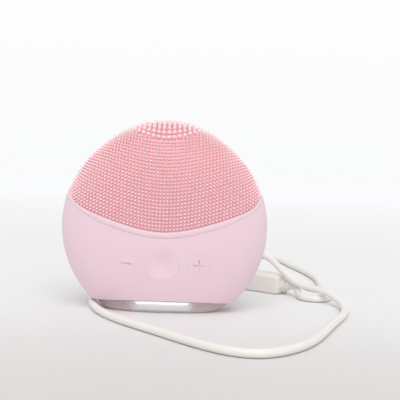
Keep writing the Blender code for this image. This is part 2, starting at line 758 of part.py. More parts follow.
def mark(cap, x, upright):
    """A sunk minus, or plus, in a key's face."""
    face, _ = lens_point(x, KEY_HEIGHT, 0, -1)
    long, wide = MARK_LENGTH / 2, MARK_WIDTH / 2
    depth = face.y + MARK_DEPTH
    cut(cap, cuboid("bar", (x - long, -REACH, KEY_HEIGHT - wide), (x + long, depth, KEY_HEIGHT + wide)))
    if upright:
        cut(cap, cuboid("stroke", (x - wide, -REACH, KEY_HEIGHT - long), (x + wide, depth, KEY_HEIGHT + long)))


def key(label, x, radius):
    across = (x, KEY_HEIGHT)
    cap = rod(label + "_key_cap", "Y", radius, -BODY_HALF_DEPTH - GAP, PUSHER_FLANGE_BACK, across)
    trim(cap, skin_outer)
    cut(cap, skin_inner)
    if label == "power":
        dimple(cap, x)
    else:
        mark(cap, x, label == "plus")
    finish(cap, PALE_SILICONE, 0.45)

    switch_back = BOARD_FRONT - GAP
    switch_front = switch_back - SWITCH_DEPTH
    plunger_front = switch_front - PLUNGER_PROUD
    flange_radius = radius - PUSHER_MARGIN
    pusher = rod(label + "_key_pusher", "Y", flange_radius, -REACH, PUSHER_FLANGE_BACK, across)
    trim(pusher, shell_outer)
    stem_end = plunger_front - GAP
    stem_start = PUSHER_FLANGE_BACK - GAP
    join(pusher, rod("stem", "Y", PUSHER_STEM_RADIUS, stem_start, stem_end, across, SMALL_SIDES))
    finish(pusher, WHITE_PLASTIC)

    half = SWITCH_SIZE / 2
    case = cuboid(
        label + "_switch_case",
        (x - half, switch_front, KEY_HEIGHT - half),
        (x + half, switch_back, KEY_HEIGHT + half),
    )
    plunger_end = plunger_front + PLUNGER_LENGTH
    bore = PLUNGER_RADIUS + GAP
    bore_end = plunger_end + KEY_TRAVEL + GAP / 2
    cut(case, rod("bore", "Y", bore, switch_front - GAP, bore_end, across, SMALL_SIDES))
    finish(case, DARK_PLASTIC, 0.4)
    plunger = rod(
        label + "_switch_plunger", "Y", PLUNGER_RADIUS, plunger_front, plunger_end, across, SMALL_SIDES
    )
    finish(plunger, WHITE_PLASTIC)
    face, _ = lens_point(x, KEY_HEIGHT, 0, -1)
    hang(anchor(label + "_key_slide", face), cap, pusher, plunger)


for key_label, (key_x, key_radius) in KEYS.items():
    key(key_label, key_x, key_radius)


# Battery cell on foam tape

half_width = BATTERY_SIZE[0] / 2
battery = cuboid(
    "battery_cell",
    (-half_width, BATTERY_BACK - BATTERY_SIZE[1], BATTERY_LOW),
    (half_width, BATTERY_BACK, BATTERY_HIGH),
)
finish(battery, CELL_SILVER, 0.35, 0.6)
battery_middle = (BATTERY_LOW + BATTERY_HIGH) / 2
tape = cuboid(
    "battery_tape",
    (-TAPE_SIZE[0] / 2, TAPE_FRONT, battery_middle - TAPE_SIZE[1] / 2),
    (TAPE_SIZE[0] / 2, TAPE_FRONT + TAPE_THICKNESS, battery_middle + TAPE_SIZE[1] / 2),
)
finish(tape, FOAM, 0.9)


# Vibration motor in a rubber sleeve, in a bracket on the rear shell

axis_place = (0, MOTOR_HEIGHT)
SHAFT_BORE = SHAFT_RADIUS + GAP
BEARING_LEFT = MOTOR_RIGHT + GAP
WEIGHT_LEFT = BEARING_LEFT + BEARING_LENGTH + GAP
can = ring("motor_can", "X", MOTOR_RADIUS, SHAFT_BORE, MOTOR_LEFT, MOTOR_RIGHT, axis_place)
finish(can, STEEL, 0.3, 1.0)
end_cap_right = MOTOR_LEFT - GAP
end_cap = rod("motor_end_cap", "X", CAP_RADIUS, end_cap_right - CAP_LENGTH, end_cap_right, axis_place)
finish(end_cap, DARK_PLASTIC, 0.5)
bearing_right = BEARING_LEFT + BEARING_LENGTH
bearing = ring(
    "motor_bearing", "X", BEARING_RADIUS, SHAFT_BORE, BEARING_LEFT, bearing_right, axis_place, SMALL_SIDES
)
finish(bearing, BRASS, 0.35, 1.0)
sleeve_left = MOTOR_MIDDLE - SLEEVE_LENGTH / 2
sleeve_right = MOTOR_MIDDLE + SLEEVE_LENGTH / 2
sleeve = ring("motor_sleeve", "X", SLEEVE_RADIUS, MOTOR_RADIUS + GAP, sleeve_left, sleeve_right, axis_place)
finish(sleeve, GREY_RUBBER, 0.8)

bracket_left = MOTOR_MIDDLE - BRACKET_WIDTH / 2
bracket_right = MOTOR_MIDDLE + BRACKET_WIDTH / 2
bracket = cuboid(
    "motor_bracket",
    (bracket_left, BRACKET_FRONT, MOTOR_HEIGHT - EAR_BACK),
    (bracket_right, EAR_BACK, MOTOR_HEIGHT + EAR_BACK),
)
ears = cuboid(
    "ears",
    (MOTOR_MIDDLE - EAR_HALF_LENGTH, EAR_FRONT, MOTOR_HEIGHT - EAR_HALF_HEIGHT),
    (MOTOR_MIDDLE + EAR_HALF_LENGTH, EAR_BACK, MOTOR_HEIGHT + EAR_HALF_HEIGHT),
)
join(bracket, ears)
cut(bracket, rod("cradle", "X", BRACKET_BORE, bracket_left - GAP, bracket_right + GAP, axis_place))
for corner in ear_screws:
    cut(bracket, rod("hole", "Y", PILOT_RADIUS, 0, REACH, corner, SMALL_SIDES))
finish(bracket, WHITE_PLASTIC)
for label, corner in zip(("left", "right"), ear_screws):
    head = EAR_FRONT - GAP - SCREW_HEAD_HEIGHT
    bracket_screw = screw(f"bracket_screw_{label}", "Y", head, 1, BRACKET_SCREW_LENGTH, corner)
    finish(bracket_screw, STEEL, 0.35, 1.0)

shaft_right = MOTOR_RIGHT + SHAFT_OVERHANG
shaft = rod("motor_shaft", "X", SHAFT_RADIUS, MOTOR_LEFT + GAP, shaft_right, axis_place, SMALL_SIDES)
finish(shaft, STEEL, 0.25, 1.0)
weight_right = WEIGHT_LEFT + WEIGHT_LENGTH
weight = rod("eccentric_weight", "X", WEIGHT_RADIUS, WEIGHT_LEFT, weight_right, axis_place)
cut(
    weight,
    cuboid("weight_cut", (0, -REACH, MOTOR_HEIGHT + WEIGHT_CUT), (REACH, REACH, 2 * REACH)),
    rod("bore", "X", SHAFT_BORE, MOTOR_RIGHT, weight_right + GAP, axis_place, SMALL_SIDES),
)
finish(weight, STEEL, 0.4, 1.0)
hang(anchor("rotor_axis", (WEIGHT_LEFT, 0, MOTOR_HEIGHT)), shaft, weight)


# Charging jack in the rear wall

jack_across = (0, JACK_HEIGHT)
jack = rod("charge_jack", "Y", JACK_RADIUS, JACK_INNER_END, JACK_OUTER_END, jack_across)
jack_bore_end = JACK_OUTER_END - JACK_BORE_DEPTH
cut(jack, rod("bore", "Y", JACK_BORE_RADIUS, jack_bore_end, REACH, jack_across, SMALL_SIDES))
finish(jack, DARK_PLASTIC, 0.4)


# Thin wires from the battery, the motor and the jack to the board

board_seat = BOARD_BACK + GAP
battery_inside = BATTERY_BACK - BATTERY_SIZE[1] / 2
wire_top = BATTERY_LOW - GAP
cap_left = end_cap_right - CAP_LENGTH - GAP
for number, (label, colour) in enumerate((("red", WIRE_RED), ("black", WIRE_BLACK))):
    shift = number * WIRE_SPACING
    x = half_width / 2 + shift
    battery_wire = (
        (x, battery_inside, wire_top),
        (x, battery_inside - WIRE_RADIUS, wire_top - 3 * WIRE_RADIUS),
        (x, (battery_inside + board_seat) / 2, wire_top - 6 * WIRE_RADIUS),
        (x, board_seat, wire_top - 7 * WIRE_RADIUS),
    )
    finish(tube(f"battery_wire_{label}", smooth_route(battery_wire, 7), WIRE_RADIUS, 1), colour)
    outside = -half_width - WIRE_SPACING - shift
    landing = BOARD_BOSS_HEIGHTS[1] - 3 * WIRE_SPACING - shift
    motor_wire = (
        (cap_left, 0, MOTOR_HEIGHT + shift),
        (cap_left - WIRE_SPACING, 0, MOTOR_HEIGHT + shift),
        (outside, 0, MOTOR_HEIGHT - 2 * WIRE_SPACING + shift),
        (outside, battery_inside, battery_middle),
        (outside, battery_inside, BATTERY_LOW),
        (outside, (battery_inside + board_seat) / 2, landing + WIRE_SPACING),
        (-BOARD_HALF_WIDTH + WIRE_SPACING, board_seat, landing),
    )
    finish(tube(f"motor_wire_{label}", smooth_route(motor_wire, 16), WIRE_RADIUS, 1), colour)
    x = (2 * number - 1) * WIRE_SPACING
    jack_wire = (
        (x, JACK_INNER_END - GAP, JACK_HEIGHT),
        (x, JACK_INNER_END - WIRE_SPACING, JACK_HEIGHT),
        (x, board_seat + WIRE_SPACING, JACK_HEIGHT - WIRE_SPACING),
        (x, board_seat, JACK_HEIGHT - WIRE_SPACING),
    )
    finish(tube(f"jack_wire_{label}", smooth_route(jack_wire, 8), WIRE_RADIUS, 1), colour)


# Charging lead: the plug in the jack, the cord and the USB plug

pin_end = JACK_OUTER_END
finish(
    rod("jack_plug_pin", "Y", PIN_RADIUS, pin_end - PIN_LENGTH, pin_end, jack_across, SMALL_SIDES),
    STEEL, 0.25, 1.0,
)
plug_start = JACK_OUTER_END + GAP
plug_end = plug_start + PLUG_LENGTH
finish(rod("jack_plug_body", "Y", PLUG_RADIUS, plug_start, plug_end, jack_across), CORD_WHITE, 0.45)
relief_start = plug_end + GAP
relief_end = relief_start + RELIEF_LENGTH
CORD_RADIUS = CORD_DIAMETER / 2
RELIEF_TIP = CORD_RADIUS + GAP
jack_relief = rod(
    "jack_plug_relief", "Y", PLUG_RADIUS - 2 * GAP, relief_start, relief_end, jack_across, end_radius=RELIEF_TIP
)
finish(jack_relief, CORD_WHITE, 0.45)

usb_turn = math.atan2(USB_DIRECTION[1], USB_DIRECTION[0])
usb_frame = anchor("usb_plug_frame", (*USB_PLACE, 0), usb_turn)
body_length, body_width, body_height = USB_BODY
usb_body = cuboid("usb_plug_body", (-body_length, -body_width / 2, 0), (0, body_width / 2, body_height))
for vert in usb_body.data.vertices:
    if vert.co.x > 0:
        vert.co.y *= USB_BODY_TAIL_WIDTH / body_width
rounding = usb_body.modifiers.new("round", "BEVEL")
rounding.width = USB_BODY_ROUND
rounding.segments = 2
finish(bake(usb_body), CORD_WHITE, 0.45)

usb_middle = body_height / 2
shell_length, shell_width, shell_height = USB_SHELL
shell_right = -body_length - GAP
shell_left = shell_right - shell_length


def usb_block(name, left, right, half_width, low, high):
    return cuboid(name, (left, -half_width, low), (right, half_width, high))


shell_low, shell_high = usb_middle - shell_height / 2, usb_middle + shell_height / 2
inside_half = shell_width / 2 - USB_SHELL_WALL
inside_low, inside_high = shell_low + USB_SHELL_WALL, shell_high - USB_SHELL_WALL
usb_shell = usb_block("usb_plug_shell", shell_left, shell_right, shell_width / 2, shell_low, shell_high)
cut(usb_shell, usb_block("inside", shell_left - GAP, shell_right + GAP, inside_half, inside_low, inside_high))
finish(usb_shell, STEEL, 0.3, 1.0)
tongue = usb_block(
    "usb_plug_tongue",
    shell_left + GAP,
    shell_right,
    inside_half - GAP,
    inside_high - GAP - USB_TONGUE_THICKNESS,
    inside_high - GAP,
)
finish(tongue, DARK_PLASTIC, 0.4)
usb_relief_end = GAP + USB_RELIEF_LENGTH
usb_relief = rod(
    "usb_plug_relief", "X", PLUG_RADIUS - GAP, GAP, usb_relief_end, (0, usb_middle), end_radius=RELIEF_TIP
)
finish(usb_relief, CORD_WHITE, 0.45)
carry(usb_frame, usb_body, usb_shell, tongue, usb_relief)

along = Vector((*USB_DIRECTION, 0)).normalized()
usb_exit = Vector((*USB_PLACE, usb_middle)) + along * (usb_relief_end + GAP)
cord_start = Vector((0, relief_end + GAP, JACK_HEIGHT))
cord_route = (
    tuple(cord_start),
    tuple(cord_start + AXES["Y"] * CORD_RADIUS),
    *CORD_ROUTE,
    tuple(usb_exit + along * CORD_RADIUS),
    tuple(usb_exit),
)
cord_line = smooth_route(cord_route, CORD_POINTS)
cord_line[:, 2] = np.maximum(cord_line[:, 2], CORD_REST)
cord_line = np.insert(cord_line, (1, CORD_POINTS - 1), (cord_route[1], cord_route[-2]), axis=0)
finish(tube("charge_cord", cord_line, CORD_RADIUS, 2), CORD_WHITE, 0.5)
cord_length = np.linalg.norm(np.diff(cord_line, axis=0), axis=1).sum()
print(f"charging lead: {cord_length:.3f} m of cord")
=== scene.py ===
import math

import bmesh
import bpy
import numpy as np
from mathutils import Matrix, Vector


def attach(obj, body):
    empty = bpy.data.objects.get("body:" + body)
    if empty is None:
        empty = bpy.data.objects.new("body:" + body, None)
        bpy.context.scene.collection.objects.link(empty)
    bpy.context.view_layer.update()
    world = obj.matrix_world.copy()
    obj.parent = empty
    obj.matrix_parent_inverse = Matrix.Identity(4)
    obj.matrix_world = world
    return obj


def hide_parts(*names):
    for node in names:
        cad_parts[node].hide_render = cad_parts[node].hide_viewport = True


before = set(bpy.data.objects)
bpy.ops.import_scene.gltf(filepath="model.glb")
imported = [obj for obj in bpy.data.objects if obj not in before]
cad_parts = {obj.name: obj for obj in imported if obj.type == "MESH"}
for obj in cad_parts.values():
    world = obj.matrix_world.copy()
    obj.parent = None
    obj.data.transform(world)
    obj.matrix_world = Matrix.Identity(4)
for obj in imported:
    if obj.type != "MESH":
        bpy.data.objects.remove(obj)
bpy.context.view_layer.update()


# The studio is a small product table: a pale floor that runs out into a white surround, even light from
# all round and one broad soft lamp high in front. The camera stands as the photograph's did, a little
# above the brush's middle and turned a touch about its own line of sight.

def linear(colour):
    """Turns a colour written as sRGB hex into the linear values that shaders take."""
    parts = [int(colour[i : i + 2], 16) / 255 for i in (1, 3, 5)]
    return tuple(c / 12.92 if c <= 0.04045 else ((c + 0.055) / 1.055) ** 2.4 for c in parts) + (1,)


def add(tree, kind, inputs=None, **settings):
    """Adds a node with its settings. An input is given a value, or a socket or node to link from."""
    made = tree.nodes.new(kind)
    for name, value in settings.items():
        setattr(made, name, value)
    for name, value in (inputs or {}).items():
        if isinstance(value, bpy.types.Node):
            value = value.outputs[0]
        if isinstance(value, bpy.types.NodeSocket):
            tree.links.new(value, made.inputs[name])
        else:
            made.inputs[name].default_value = value
    return made


scene = bpy.context.scene
scene.view_settings.view_transform = "Standard"

camera = bpy.data.objects.new("camera", bpy.data.cameras.new("camera"))
scene.collection.objects.link(camera)
scene.camera = camera
camera.data.sensor_width = 36
camera.data.lens = 76.5
camera.data.clip_start = 0.01
camera_place = (0.0129, -0.318, 0.0612)
camera_pitch = math.radians(3.57)
camera_roll = math.radians(1.9)
camera.matrix_world = (
    Matrix.Translation(camera_place)
    @ Matrix.Rotation(math.pi / 2 - camera_pitch, 4, "X")
    @ Matrix.Rotation(camera_roll, 4, "Z")
)

surround = bpy.data.worlds.new("white_surround")
scene.world = surround
surround.use_nodes = True
sky = surround.node_tree
sky.nodes.clear()
rays = add(sky, "ShaderNodeLightPath")
seen = add(
    sky, "ShaderNodeMath", {0: rays.outputs["Is Camera Ray"], 1: rays.outputs["Is Glossy Ray"]},
    operation="MAXIMUM",
)
seen = add(sky, "ShaderNodeMath", {0: seen, 1: rays.outputs["Is Transmission Ray"]}, operation="MAXIMUM")
heading = add(sky, "ShaderNodeSeparateXYZ", {0: add(sky, "ShaderNodeTexCoord").outputs["Generated"]})
upward = add(sky, "ShaderNodeMapRange", {"Value": heading.outputs["Z"], "From Min": -0.02, "From Max": 0.14})
haze = add(sky, "ShaderNodeMixRGB", {"Fac": upward, "Color1": linear("#FAFBFC"), "Color2": linear("#FDFDFE")})
surround_light = add(sky, "ShaderNodeBackground", {"Color": linear("#FFFFFF"), "Strength": 0.70})
surround_seen = add(sky, "ShaderNodeBackground", {"Color": haze, "Strength": 1.0})
shown = add(sky, "ShaderNodeMixShader", {0: seen, 1: surround_light, 2: surround_seen})
add(sky, "ShaderNodeOutputWorld", {"Surface": shown})

soft_lamp = bpy.data.objects.new("soft_lamp", bpy.data.lights.new("soft_lamp", "SUN"))
scene.collection.objects.link(soft_lamp)
soft_lamp.data.angle = math.radians(50)
soft_lamp.data.energy = 1.42
lamp_aim = Vector((-0.04, 0.62, -0.74))
soft_lamp.matrix_world = lamp_aim.to_track_quat("-Z", "Y").to_matrix().to_4x4()


def new_finish(name):
    """A bare material, its node tree, and the object's own coordinates for its patterns."""
    finish = bpy.data.materials.new(name)
    finish.use_nodes = True
    tree = finish.node_tree
    tree.nodes.clear()
    return finish, tree, add(tree, "ShaderNodeTexCoord").outputs["Object"]


# Matt painted board: even and pale, with painted shade that makes it darker and a little warmer towards the
# front, fading out far away.
table_paint, tree, where = new_finish("matt_table_paint")
depth = add(tree, "ShaderNodeSeparateXYZ", {0: where})
# Painted shade: the floor grows darker and a little warmer towards the front.
near = add(tree, "ShaderNodeMapRange", {
    "Value": depth.outputs["Y"], "From Min": -0.13, "From Max": 0.03,
}, interpolation_type="SMOOTHSTEP")
shade = add(tree, "ShaderNodeMixRGB", {"Fac": near, "Color1": linear("#D8D5D4"), "Color2": linear("#EAEAEA")})
away = add(tree, "ShaderNodeVectorMath", {0: where}, operation="LENGTH")
beyond = add(tree, "ShaderNodeMapRange", {"Value": away.outputs["Value"], "From Min": 0.2, "From Max": 0.8})
shade = add(tree, "ShaderNodeMixRGB", {"Fac": beyond, "Color1": shade, "Color2": linear("#F5F6F8")})
paint = add(tree, "ShaderNodeBsdfPrincipled", {"Base Color": shade, "Roughness": 0.7})
far = add(tree, "ShaderNodeMapRange", {
    "Value": away.outputs["Value"], "From Min": 0.5, "From Max": 1.8,
}, interpolation_type="SMOOTHSTEP")
gone = add(tree, "ShaderNodeBsdfTransparent")
fading = add(tree, "ShaderNodeMixShader", {0: far, 1: paint, 2: gone})
add(tree, "ShaderNodeOutputMaterial", {"Surface": fading})

table_half = 2
table_corners = [(x * table_half, y * table_half, 0) for x, y in ((-1, -1), (1, -1), (1, 1), (-1, 1))]
table_mesh = bpy.data.meshes.new("table")
table_mesh.from_pydata(table_corners, [], [(0, 1, 2, 3)])
table_mesh.materials.append(table_paint)
table = bpy.data.objects.new("table", table_mesh)
scene.collection.objects.link(table)


# The charging cord is a limp off-white PVC lead of 2.8 mm. It leaves the plug at the back, comes round the
# right, over the USB plug's end, lies in one long loop in front, goes behind and turns back into that plug.

def natural_line(route, count):
    """Evenly spaced points on the natural cubic spline through a route's points."""
    knots = np.array(route, float)
    last = len(knots) - 1
    chords = np.linalg.norm(np.diff(knots, axis=0), axis=1)
    slopes = np.diff(knots, axis=0) / chords[:, None]
    system = np.eye(last + 1)
    turns = np.zeros_like(knots)
    for i in range(1, last):
        system[i, i - 1 : i + 2] = chords[i - 1], 2 * (chords[i - 1] + chords[i]), chords[i]
        turns[i] = 6 * (slopes[i] - slopes[i - 1])
    curves = np.linalg.solve(system, turns)
    places = np.concatenate([[0], np.cumsum(chords)])
    fine = np.linspace(0, places[-1], 60 * last)
    part = np.clip(np.searchsorted(places, fine) - 1, 0, last - 1)
    after = ((fine - places[part]) / chords[part])[:, None]
    before = 1 - after
    sway = (before**3 - before) * curves[part] + (after**3 - after) * curves[part + 1]
    line = before * knots[part] + after * knots[part + 1] + sway * (chords[part] ** 2)[:, None] / 6
    along = np.concatenate([[0], np.cumsum(np.linalg.norm(np.diff(line, axis=0), axis=1))])
    steps = np.linspace(0, along[-1], count)
    return np.stack([np.interp(steps, along, line[:, k]) for k in range(3)], axis=1)


def soft_plastic(name, colour, deep, roughness, cloud, grain, rise):
    """Moulded soft plastic: colour drifts over cloud metres; its grain is grain metres wide and rise high."""
    finish, tree, where = new_finish(name)
    drift = add(tree, "ShaderNodeTexNoise", {"Vector": where, "Scale": 1 / cloud, "Detail": 2.0})
    tint = add(tree, "ShaderNodeMixRGB", {"Fac": drift, "Color1": linear(deep), "Color2": linear(colour)})
    speck = add(tree, "ShaderNodeTexNoise", {"Vector": where, "Scale": 1 / grain, "Detail": 3.0})
    rough = add(tree, "ShaderNodeMapRange", {
        "Value": speck, "From Min": 0.3, "From Max": 0.7,
        "To Min": roughness - 0.06, "To Max": roughness + 0.06,
    })
    bump = add(tree, "ShaderNodeBump", {"Height": speck, "Strength": 0.35, "Distance": rise})
    shader = add(tree, "ShaderNodeBsdfPrincipled", {"Base Color": tint, "Roughness": rough, "Normal": bump})
    add(tree, "ShaderNodeOutputMaterial", {"Surface": shader})
    return finish


cord_thickness = 0.0028
cord_rest = 0.0015
jack_height = 0.0180
cord_start = (0, 0.0313, jack_height)
cord_end = (0.05235, 0.03786, 0.0040)
cord_route = (
    cord_start, (0, 0.0327, 0.0180), (0.0002, 0.0370, 0.0180), (0.0030, 0.0450, 0.0180),
    (0.0110, 0.0506, 0.0178), (0.0310, 0.0506, 0.0169), (0.0423, 0.0454, 0.0151), (0.0503, 0.0369, 0.0087),
    (0.0542, 0.0326, 0.0062), (0.0580, 0.0282, 0.0051), (0.0616, 0.0238, 0.0050), (0.0650, 0.0195, 0.0046),
    (0.0683, 0.0132, 0.0029), (0.0694, 0.0050, 0.0016), (0.0615, -0.0237, 0.0015), (0.0531, -0.0467, 0.0015),
    (0.0404, -0.0676, 0.0015), (0.0312, -0.0727, 0.0015), (0.0228, -0.0704, 0.0015),
    (0.0159, -0.0648, 0.0015), (-0.0002, -0.0462, 0.0015), (-0.0172, -0.0245, 0.0015),
    (-0.0229, -0.0131, 0.0015), (-0.0260, -0.0030, 0.0015), (-0.0276, 0.0100, 0.0015),
    (-0.0240, 0.0520, 0.0015), (0.0040, 0.1240, 0.0015), (0.0220, 0.1500, 0.0015), (0.0380, 0.1600, 0.0015),
    (0.0520, 0.1520, 0.0015), (0.0600, 0.1280, 0.0015), (0.0686, 0.0760, 0.0015), (0.0674, 0.0460, 0.0015),
    (0.0670, 0.0288, 0.0015), (0.0653, 0.0245, 0.0015), (0.0611, 0.0227, 0.0015), (0.0569, 0.0245, 0.0015),
    (0.0551, 0.0290, 0.0016), (0.05339, 0.03692, 0.0040), cord_end,
)
cord_line = natural_line(cord_route, count=520)
cord_line[:, 2] = np.maximum(cord_line[:, 2], cord_rest)
cord_shape = bpy.data.curves.new("charging_cord", "CURVE")
cord_shape.dimensions = "3D"
cord_shape.bevel_depth = cord_thickness / 2
cord_shape.bevel_resolution = 6
cord_shape.use_fill_caps = True
strand = cord_shape.splines.new("POLY")
strand.points.add(len(cord_line) - 1)
for point, spot in zip(strand.points, cord_line):
    point.co = (*spot, 1)
# Extruded soft PVC: a satin off-white, a little warm, with hardly any grain.
lead_plastic = soft_plastic("off_white_soft_pvc", "#EDEBE6", "#E8E5DF", 0.45, 0.012, 0.0004, 0.00002)
cord_shape.materials.append(lead_plastic)
cord = bpy.data.objects.new("charging_cord", cord_shape)
scene.collection.objects.link(cord)
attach(cord, "housing")
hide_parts("charge_cord")


# The plug in the jack is a short round barrel of the same soft plastic, moulded over the cord's end, with
# three grip grooves and a tapering relief of rings that keeps the cord from kinking.

def piece_of(name, points, faces, finish, keep_angle=35):
    """Makes an object of points and faces, turned outwards, smooth but for edges sharper than an angle."""
    bm = bmesh.new()
    corners = [bm.verts.new(point) for point in points]
    for face in faces:
        bm.faces.new([corners[i] for i in face])
    bmesh.ops.recalc_face_normals(bm, faces=bm.faces)
    mesh = bpy.data.meshes.new(name)
    bm.to_mesh(mesh)
    bm.free()
    mesh.shade_smooth()
    mesh.set_sharp_from_angle(angle=math.radians(keep_angle))
    if finish:
        mesh.materials.append(finish)
    piece = bpy.data.objects.new(name, mesh)
    scene.collection.objects.link(piece)
    return piece


def loft(name, rings, finish, keep_angle=35, tube=False):
    """A closed skin through rings of equally many points: flat at both ends, or a tube that joins them."""
    count = len(rings[0])
    points = np.concatenate(rings)
    faces = [] if tube else [tuple(range(count)), tuple(range(len(points) - count, len(points)))]
    for row in range(0 if tube else 1, len(rings)):
        before, after = (row - 1) % len(rings) * count, row * count
        for i in range(count):
            j = (i + 1) % count
            faces.append((before + i, before + j, after + j, after + i))
    return piece_of(name, points, faces, finish, keep_angle)


def whole_turn(count):
    """Even angles round a full circle."""
    return np.linspace(0, 2 * math.pi, count, endpoint=False)


def turned(name, profile, place, finish, sides=40):
    """A round piece: its profile is (distance along its own X axis, radius), and place sets it down."""
    angles = whole_turn(sides)
    rings = [
        np.stack([np.full(sides, along), radius * np.cos(angles), radius * np.sin(angles)], axis=1)
        for along, radius in profile
    ]
    piece = loft(name, rings, finish)
    piece.data.transform(place)
    return piece


def ringed(count, first, pitch, radius, taper, shape):
    """The profile of like rings in a row: a shape is (along, sunk) points, and each ring is taper smaller."""
    return [
        (first + ring * pitch + along, radius - ring * taper - sunk)
        for ring in range(count) for along, sunk in shape
    ]


jack_place = Matrix.Translation((0, 0, jack_height)) @ Matrix.Rotation(math.pi / 2, 4, "Z")
plug_profile = [
    (0.0149, 0.0029), (0.0150, 0.0032), (0.0154, 0.0034), (0.0160, 0.0035), (0.0172, 0.0035),
    *ringed(
        count=3, first=0.0178, pitch=0.0018, radius=0.0035, taper=0,
        shape=((0, 0), (0.0002, 0.0003), (0.0008, 0.0003), (0.0010, 0)),
    ),
    (0.0236, 0.0035), (0.0241, 0.0034), (0.0246, 0.0031), (0.0249, 0.0027),
]
jack_plug = turned("jack_plug", plug_profile, jack_place, lead_plastic)
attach(jack_plug, "housing")
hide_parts("jack_plug_body")

relief_profile = [
    (0.0244, 0.0024),
    *ringed(
        count=4, first=0.0248, pitch=0.00155, radius=0.0029, taper=0.00028,
        shape=((0, 0.0004), (0.0002, 0), (0.0009, 0.0001), (0.0011, 0.0005), (0.0015, 0.0006)),
    ),
    (0.0314, 0.00142),
]
jack_relief = turned("jack_plug_relief_rings", relief_profile, jack_place, lead_plastic)
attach(jack_relief, "housing")
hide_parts("jack_plug_relief")


# The USB plug lies flat behind the brush: a soft plastic grip moulded round a nickel-plated steel shell with
# two square windows on each broad side, a black tongue with four gilt contacts, and a ribbed relief.

def rounded(half_width, half_height, corner, steps=6):
    """The outline of a rectangle with round corners, as (across, up) points."""
    outline = []
    for quarter, (sx, sy) in enumerate(((1, 1), (-1, 1), (-1, -1), (1, -1))):
        for step in range(steps + 1):
            angle = (quarter + step / steps) * math.pi / 2
            outline.append((
                sx * (half_width - corner) + corner * math.cos(angle),
                sy * (half_height - corner) + corner * math.sin(angle),
            ))
    return np.array(outline)


def carve(piece, operation, *tools):
    """Cuts or trims a piece with tools in turn, and throws the tools away."""
    for tool in tools:
        step = piece.modifiers.new("carve", "BOOLEAN")
        step.operation = operation
        step.solver = "EXACT"
        step.object = tool
        graph = bpy.context.evaluated_depsgraph_get()
        mesh = bpy.data.meshes.new_from_object(piece.evaluated_get(graph))
        piece.modifiers.clear()
        piece.data = mesh
    for tool in tools:
        bpy.data.objects.remove(tool)
    return piece


def block(name, low, high, corner, axis="X"):
    """A bar with softened edges from one corner to the other, lofted along an axis."""
    low, high = np.array(low, float), np.array(high, float)
    k = "XYZ".index(axis)
    across, up = [i for i in range(3) if i != k]
    middle, half = (low + high) / 2, (high - low) / 2
    outline = rounded(half[across], half[up], corner, 2)
    rings = []
    for along, inset in ((low[k], corner), (low[k] + corner, 0), (high[k] - corner, 0), (high[k], corner)):
        share = 1 - inset / np.array([half[across], half[up]])
        ring = np.empty((len(outline), 3))
        ring[:, k] = along
        ring[:, across] = middle[across] + outline[:, 0] * share[0]
        ring[:, up] = middle[up] + outline[:, 1] * share[1]
        rings.append(ring)
    return loft(name, rings, None)


usb_spot = (0.0493, 0.0406, 0)
usb_turn = math.atan2(-0.669, 0.743)
usb_place = Matrix.Translation(usb_spot) @ Matrix.Rotation(usb_turn, 4, "Z")
usb_middle = 0.0040


def usb_ring(along, half_width, half_height, corner):
    """One ring of the USB plug, square to its length."""
    outline = rounded(half_width, half_height, corner)
    return np.column_stack([np.full(len(outline), along), outline[:, 0], usb_middle + outline[:, 1]])


grip_corner = 0.0013
grip_rings = [usb_ring(*section, grip_corner) for section in (
    (-0.0240, 0.0061, 0.0031), (-0.0239, 0.0065, 0.0035), (-0.0235, 0.0068, 0.0038),
    (-0.0228, 0.0069, 0.00395), (-0.0215, 0.00680, 0.0040), (-0.0180, 0.00640, 0.0040),
    (-0.0140, 0.00595, 0.0040), (-0.0100, 0.00553, 0.0040), (-0.0060, 0.00512, 0.0040),
    (-0.0030, 0.00480, 0.0040), (-0.0014, 0.00462, 0.00395), (-0.0006, 0.00445, 0.0038),
    (-0.0002, 0.0042, 0.0035), (0.0001, 0.0038, 0.0031),
)]
usb_grip = loft("usb_plug_grip", grip_rings, lead_plastic, 50)
usb_grip.data.transform(usb_place)
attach(usb_grip, "housing")
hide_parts("usb_plug_body")

usb_relief_profile = [
    (-0.0004, 0.0030), (0.0004, 0.0030),
    *ringed(
        count=2, first=0.0008, pitch=0.0014, radius=0.0029, taper=0.0005,
        shape=((0, 0.0005), (0.0002, 0), (0.0009, 0.0001)),
    ),
    (0.0034, 0.0018), (0.0042, 0.00145),
]
usb_relief_place = usb_place @ Matrix.Translation((0, 0, usb_middle))
usb_relief = turned("usb_plug_relief_rings", usb_relief_profile, usb_relief_place, lead_plastic)
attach(usb_relief, "housing")
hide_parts("usb_plug_relief")


def plated_metal(name, colour, worn, roughness, brushed):
    """Plated or drawn metal: faint lines along X, brushed metres apart, and a little uneven gloss."""
    finish, tree, where = new_finish(name)
    stretch = add(tree, "ShaderNodeMapping", {"Vector": where, "Scale": (0.08, 1, 1)})
    lines = add(tree, "ShaderNodeTexNoise", {"Vector": stretch, "Scale": 1 / brushed, "Detail": 2.0})
    tint = add(tree, "ShaderNodeMixRGB", {"Fac": lines, "Color1": linear(worn), "Color2": linear(colour)})
    gloss = add(tree, "ShaderNodeMapRange", {
        "Value": lines, "From Min": 0.3, "From Max": 0.7,
        "To Min": roughness - 0.07, "To Max": roughness + 0.07,
    })
    bump = add(tree, "ShaderNodeBump", {"Height": lines, "Strength": 0.2, "Distance": 0.00001})
    shader = add(tree, "ShaderNodeBsdfPrincipled", {
        "Base Color": tint, "Metallic": 1.0, "Roughness": gloss, "Normal": bump,
    })
    add(tree, "ShaderNodeOutputMaterial", {"Surface": shader})
    return finish


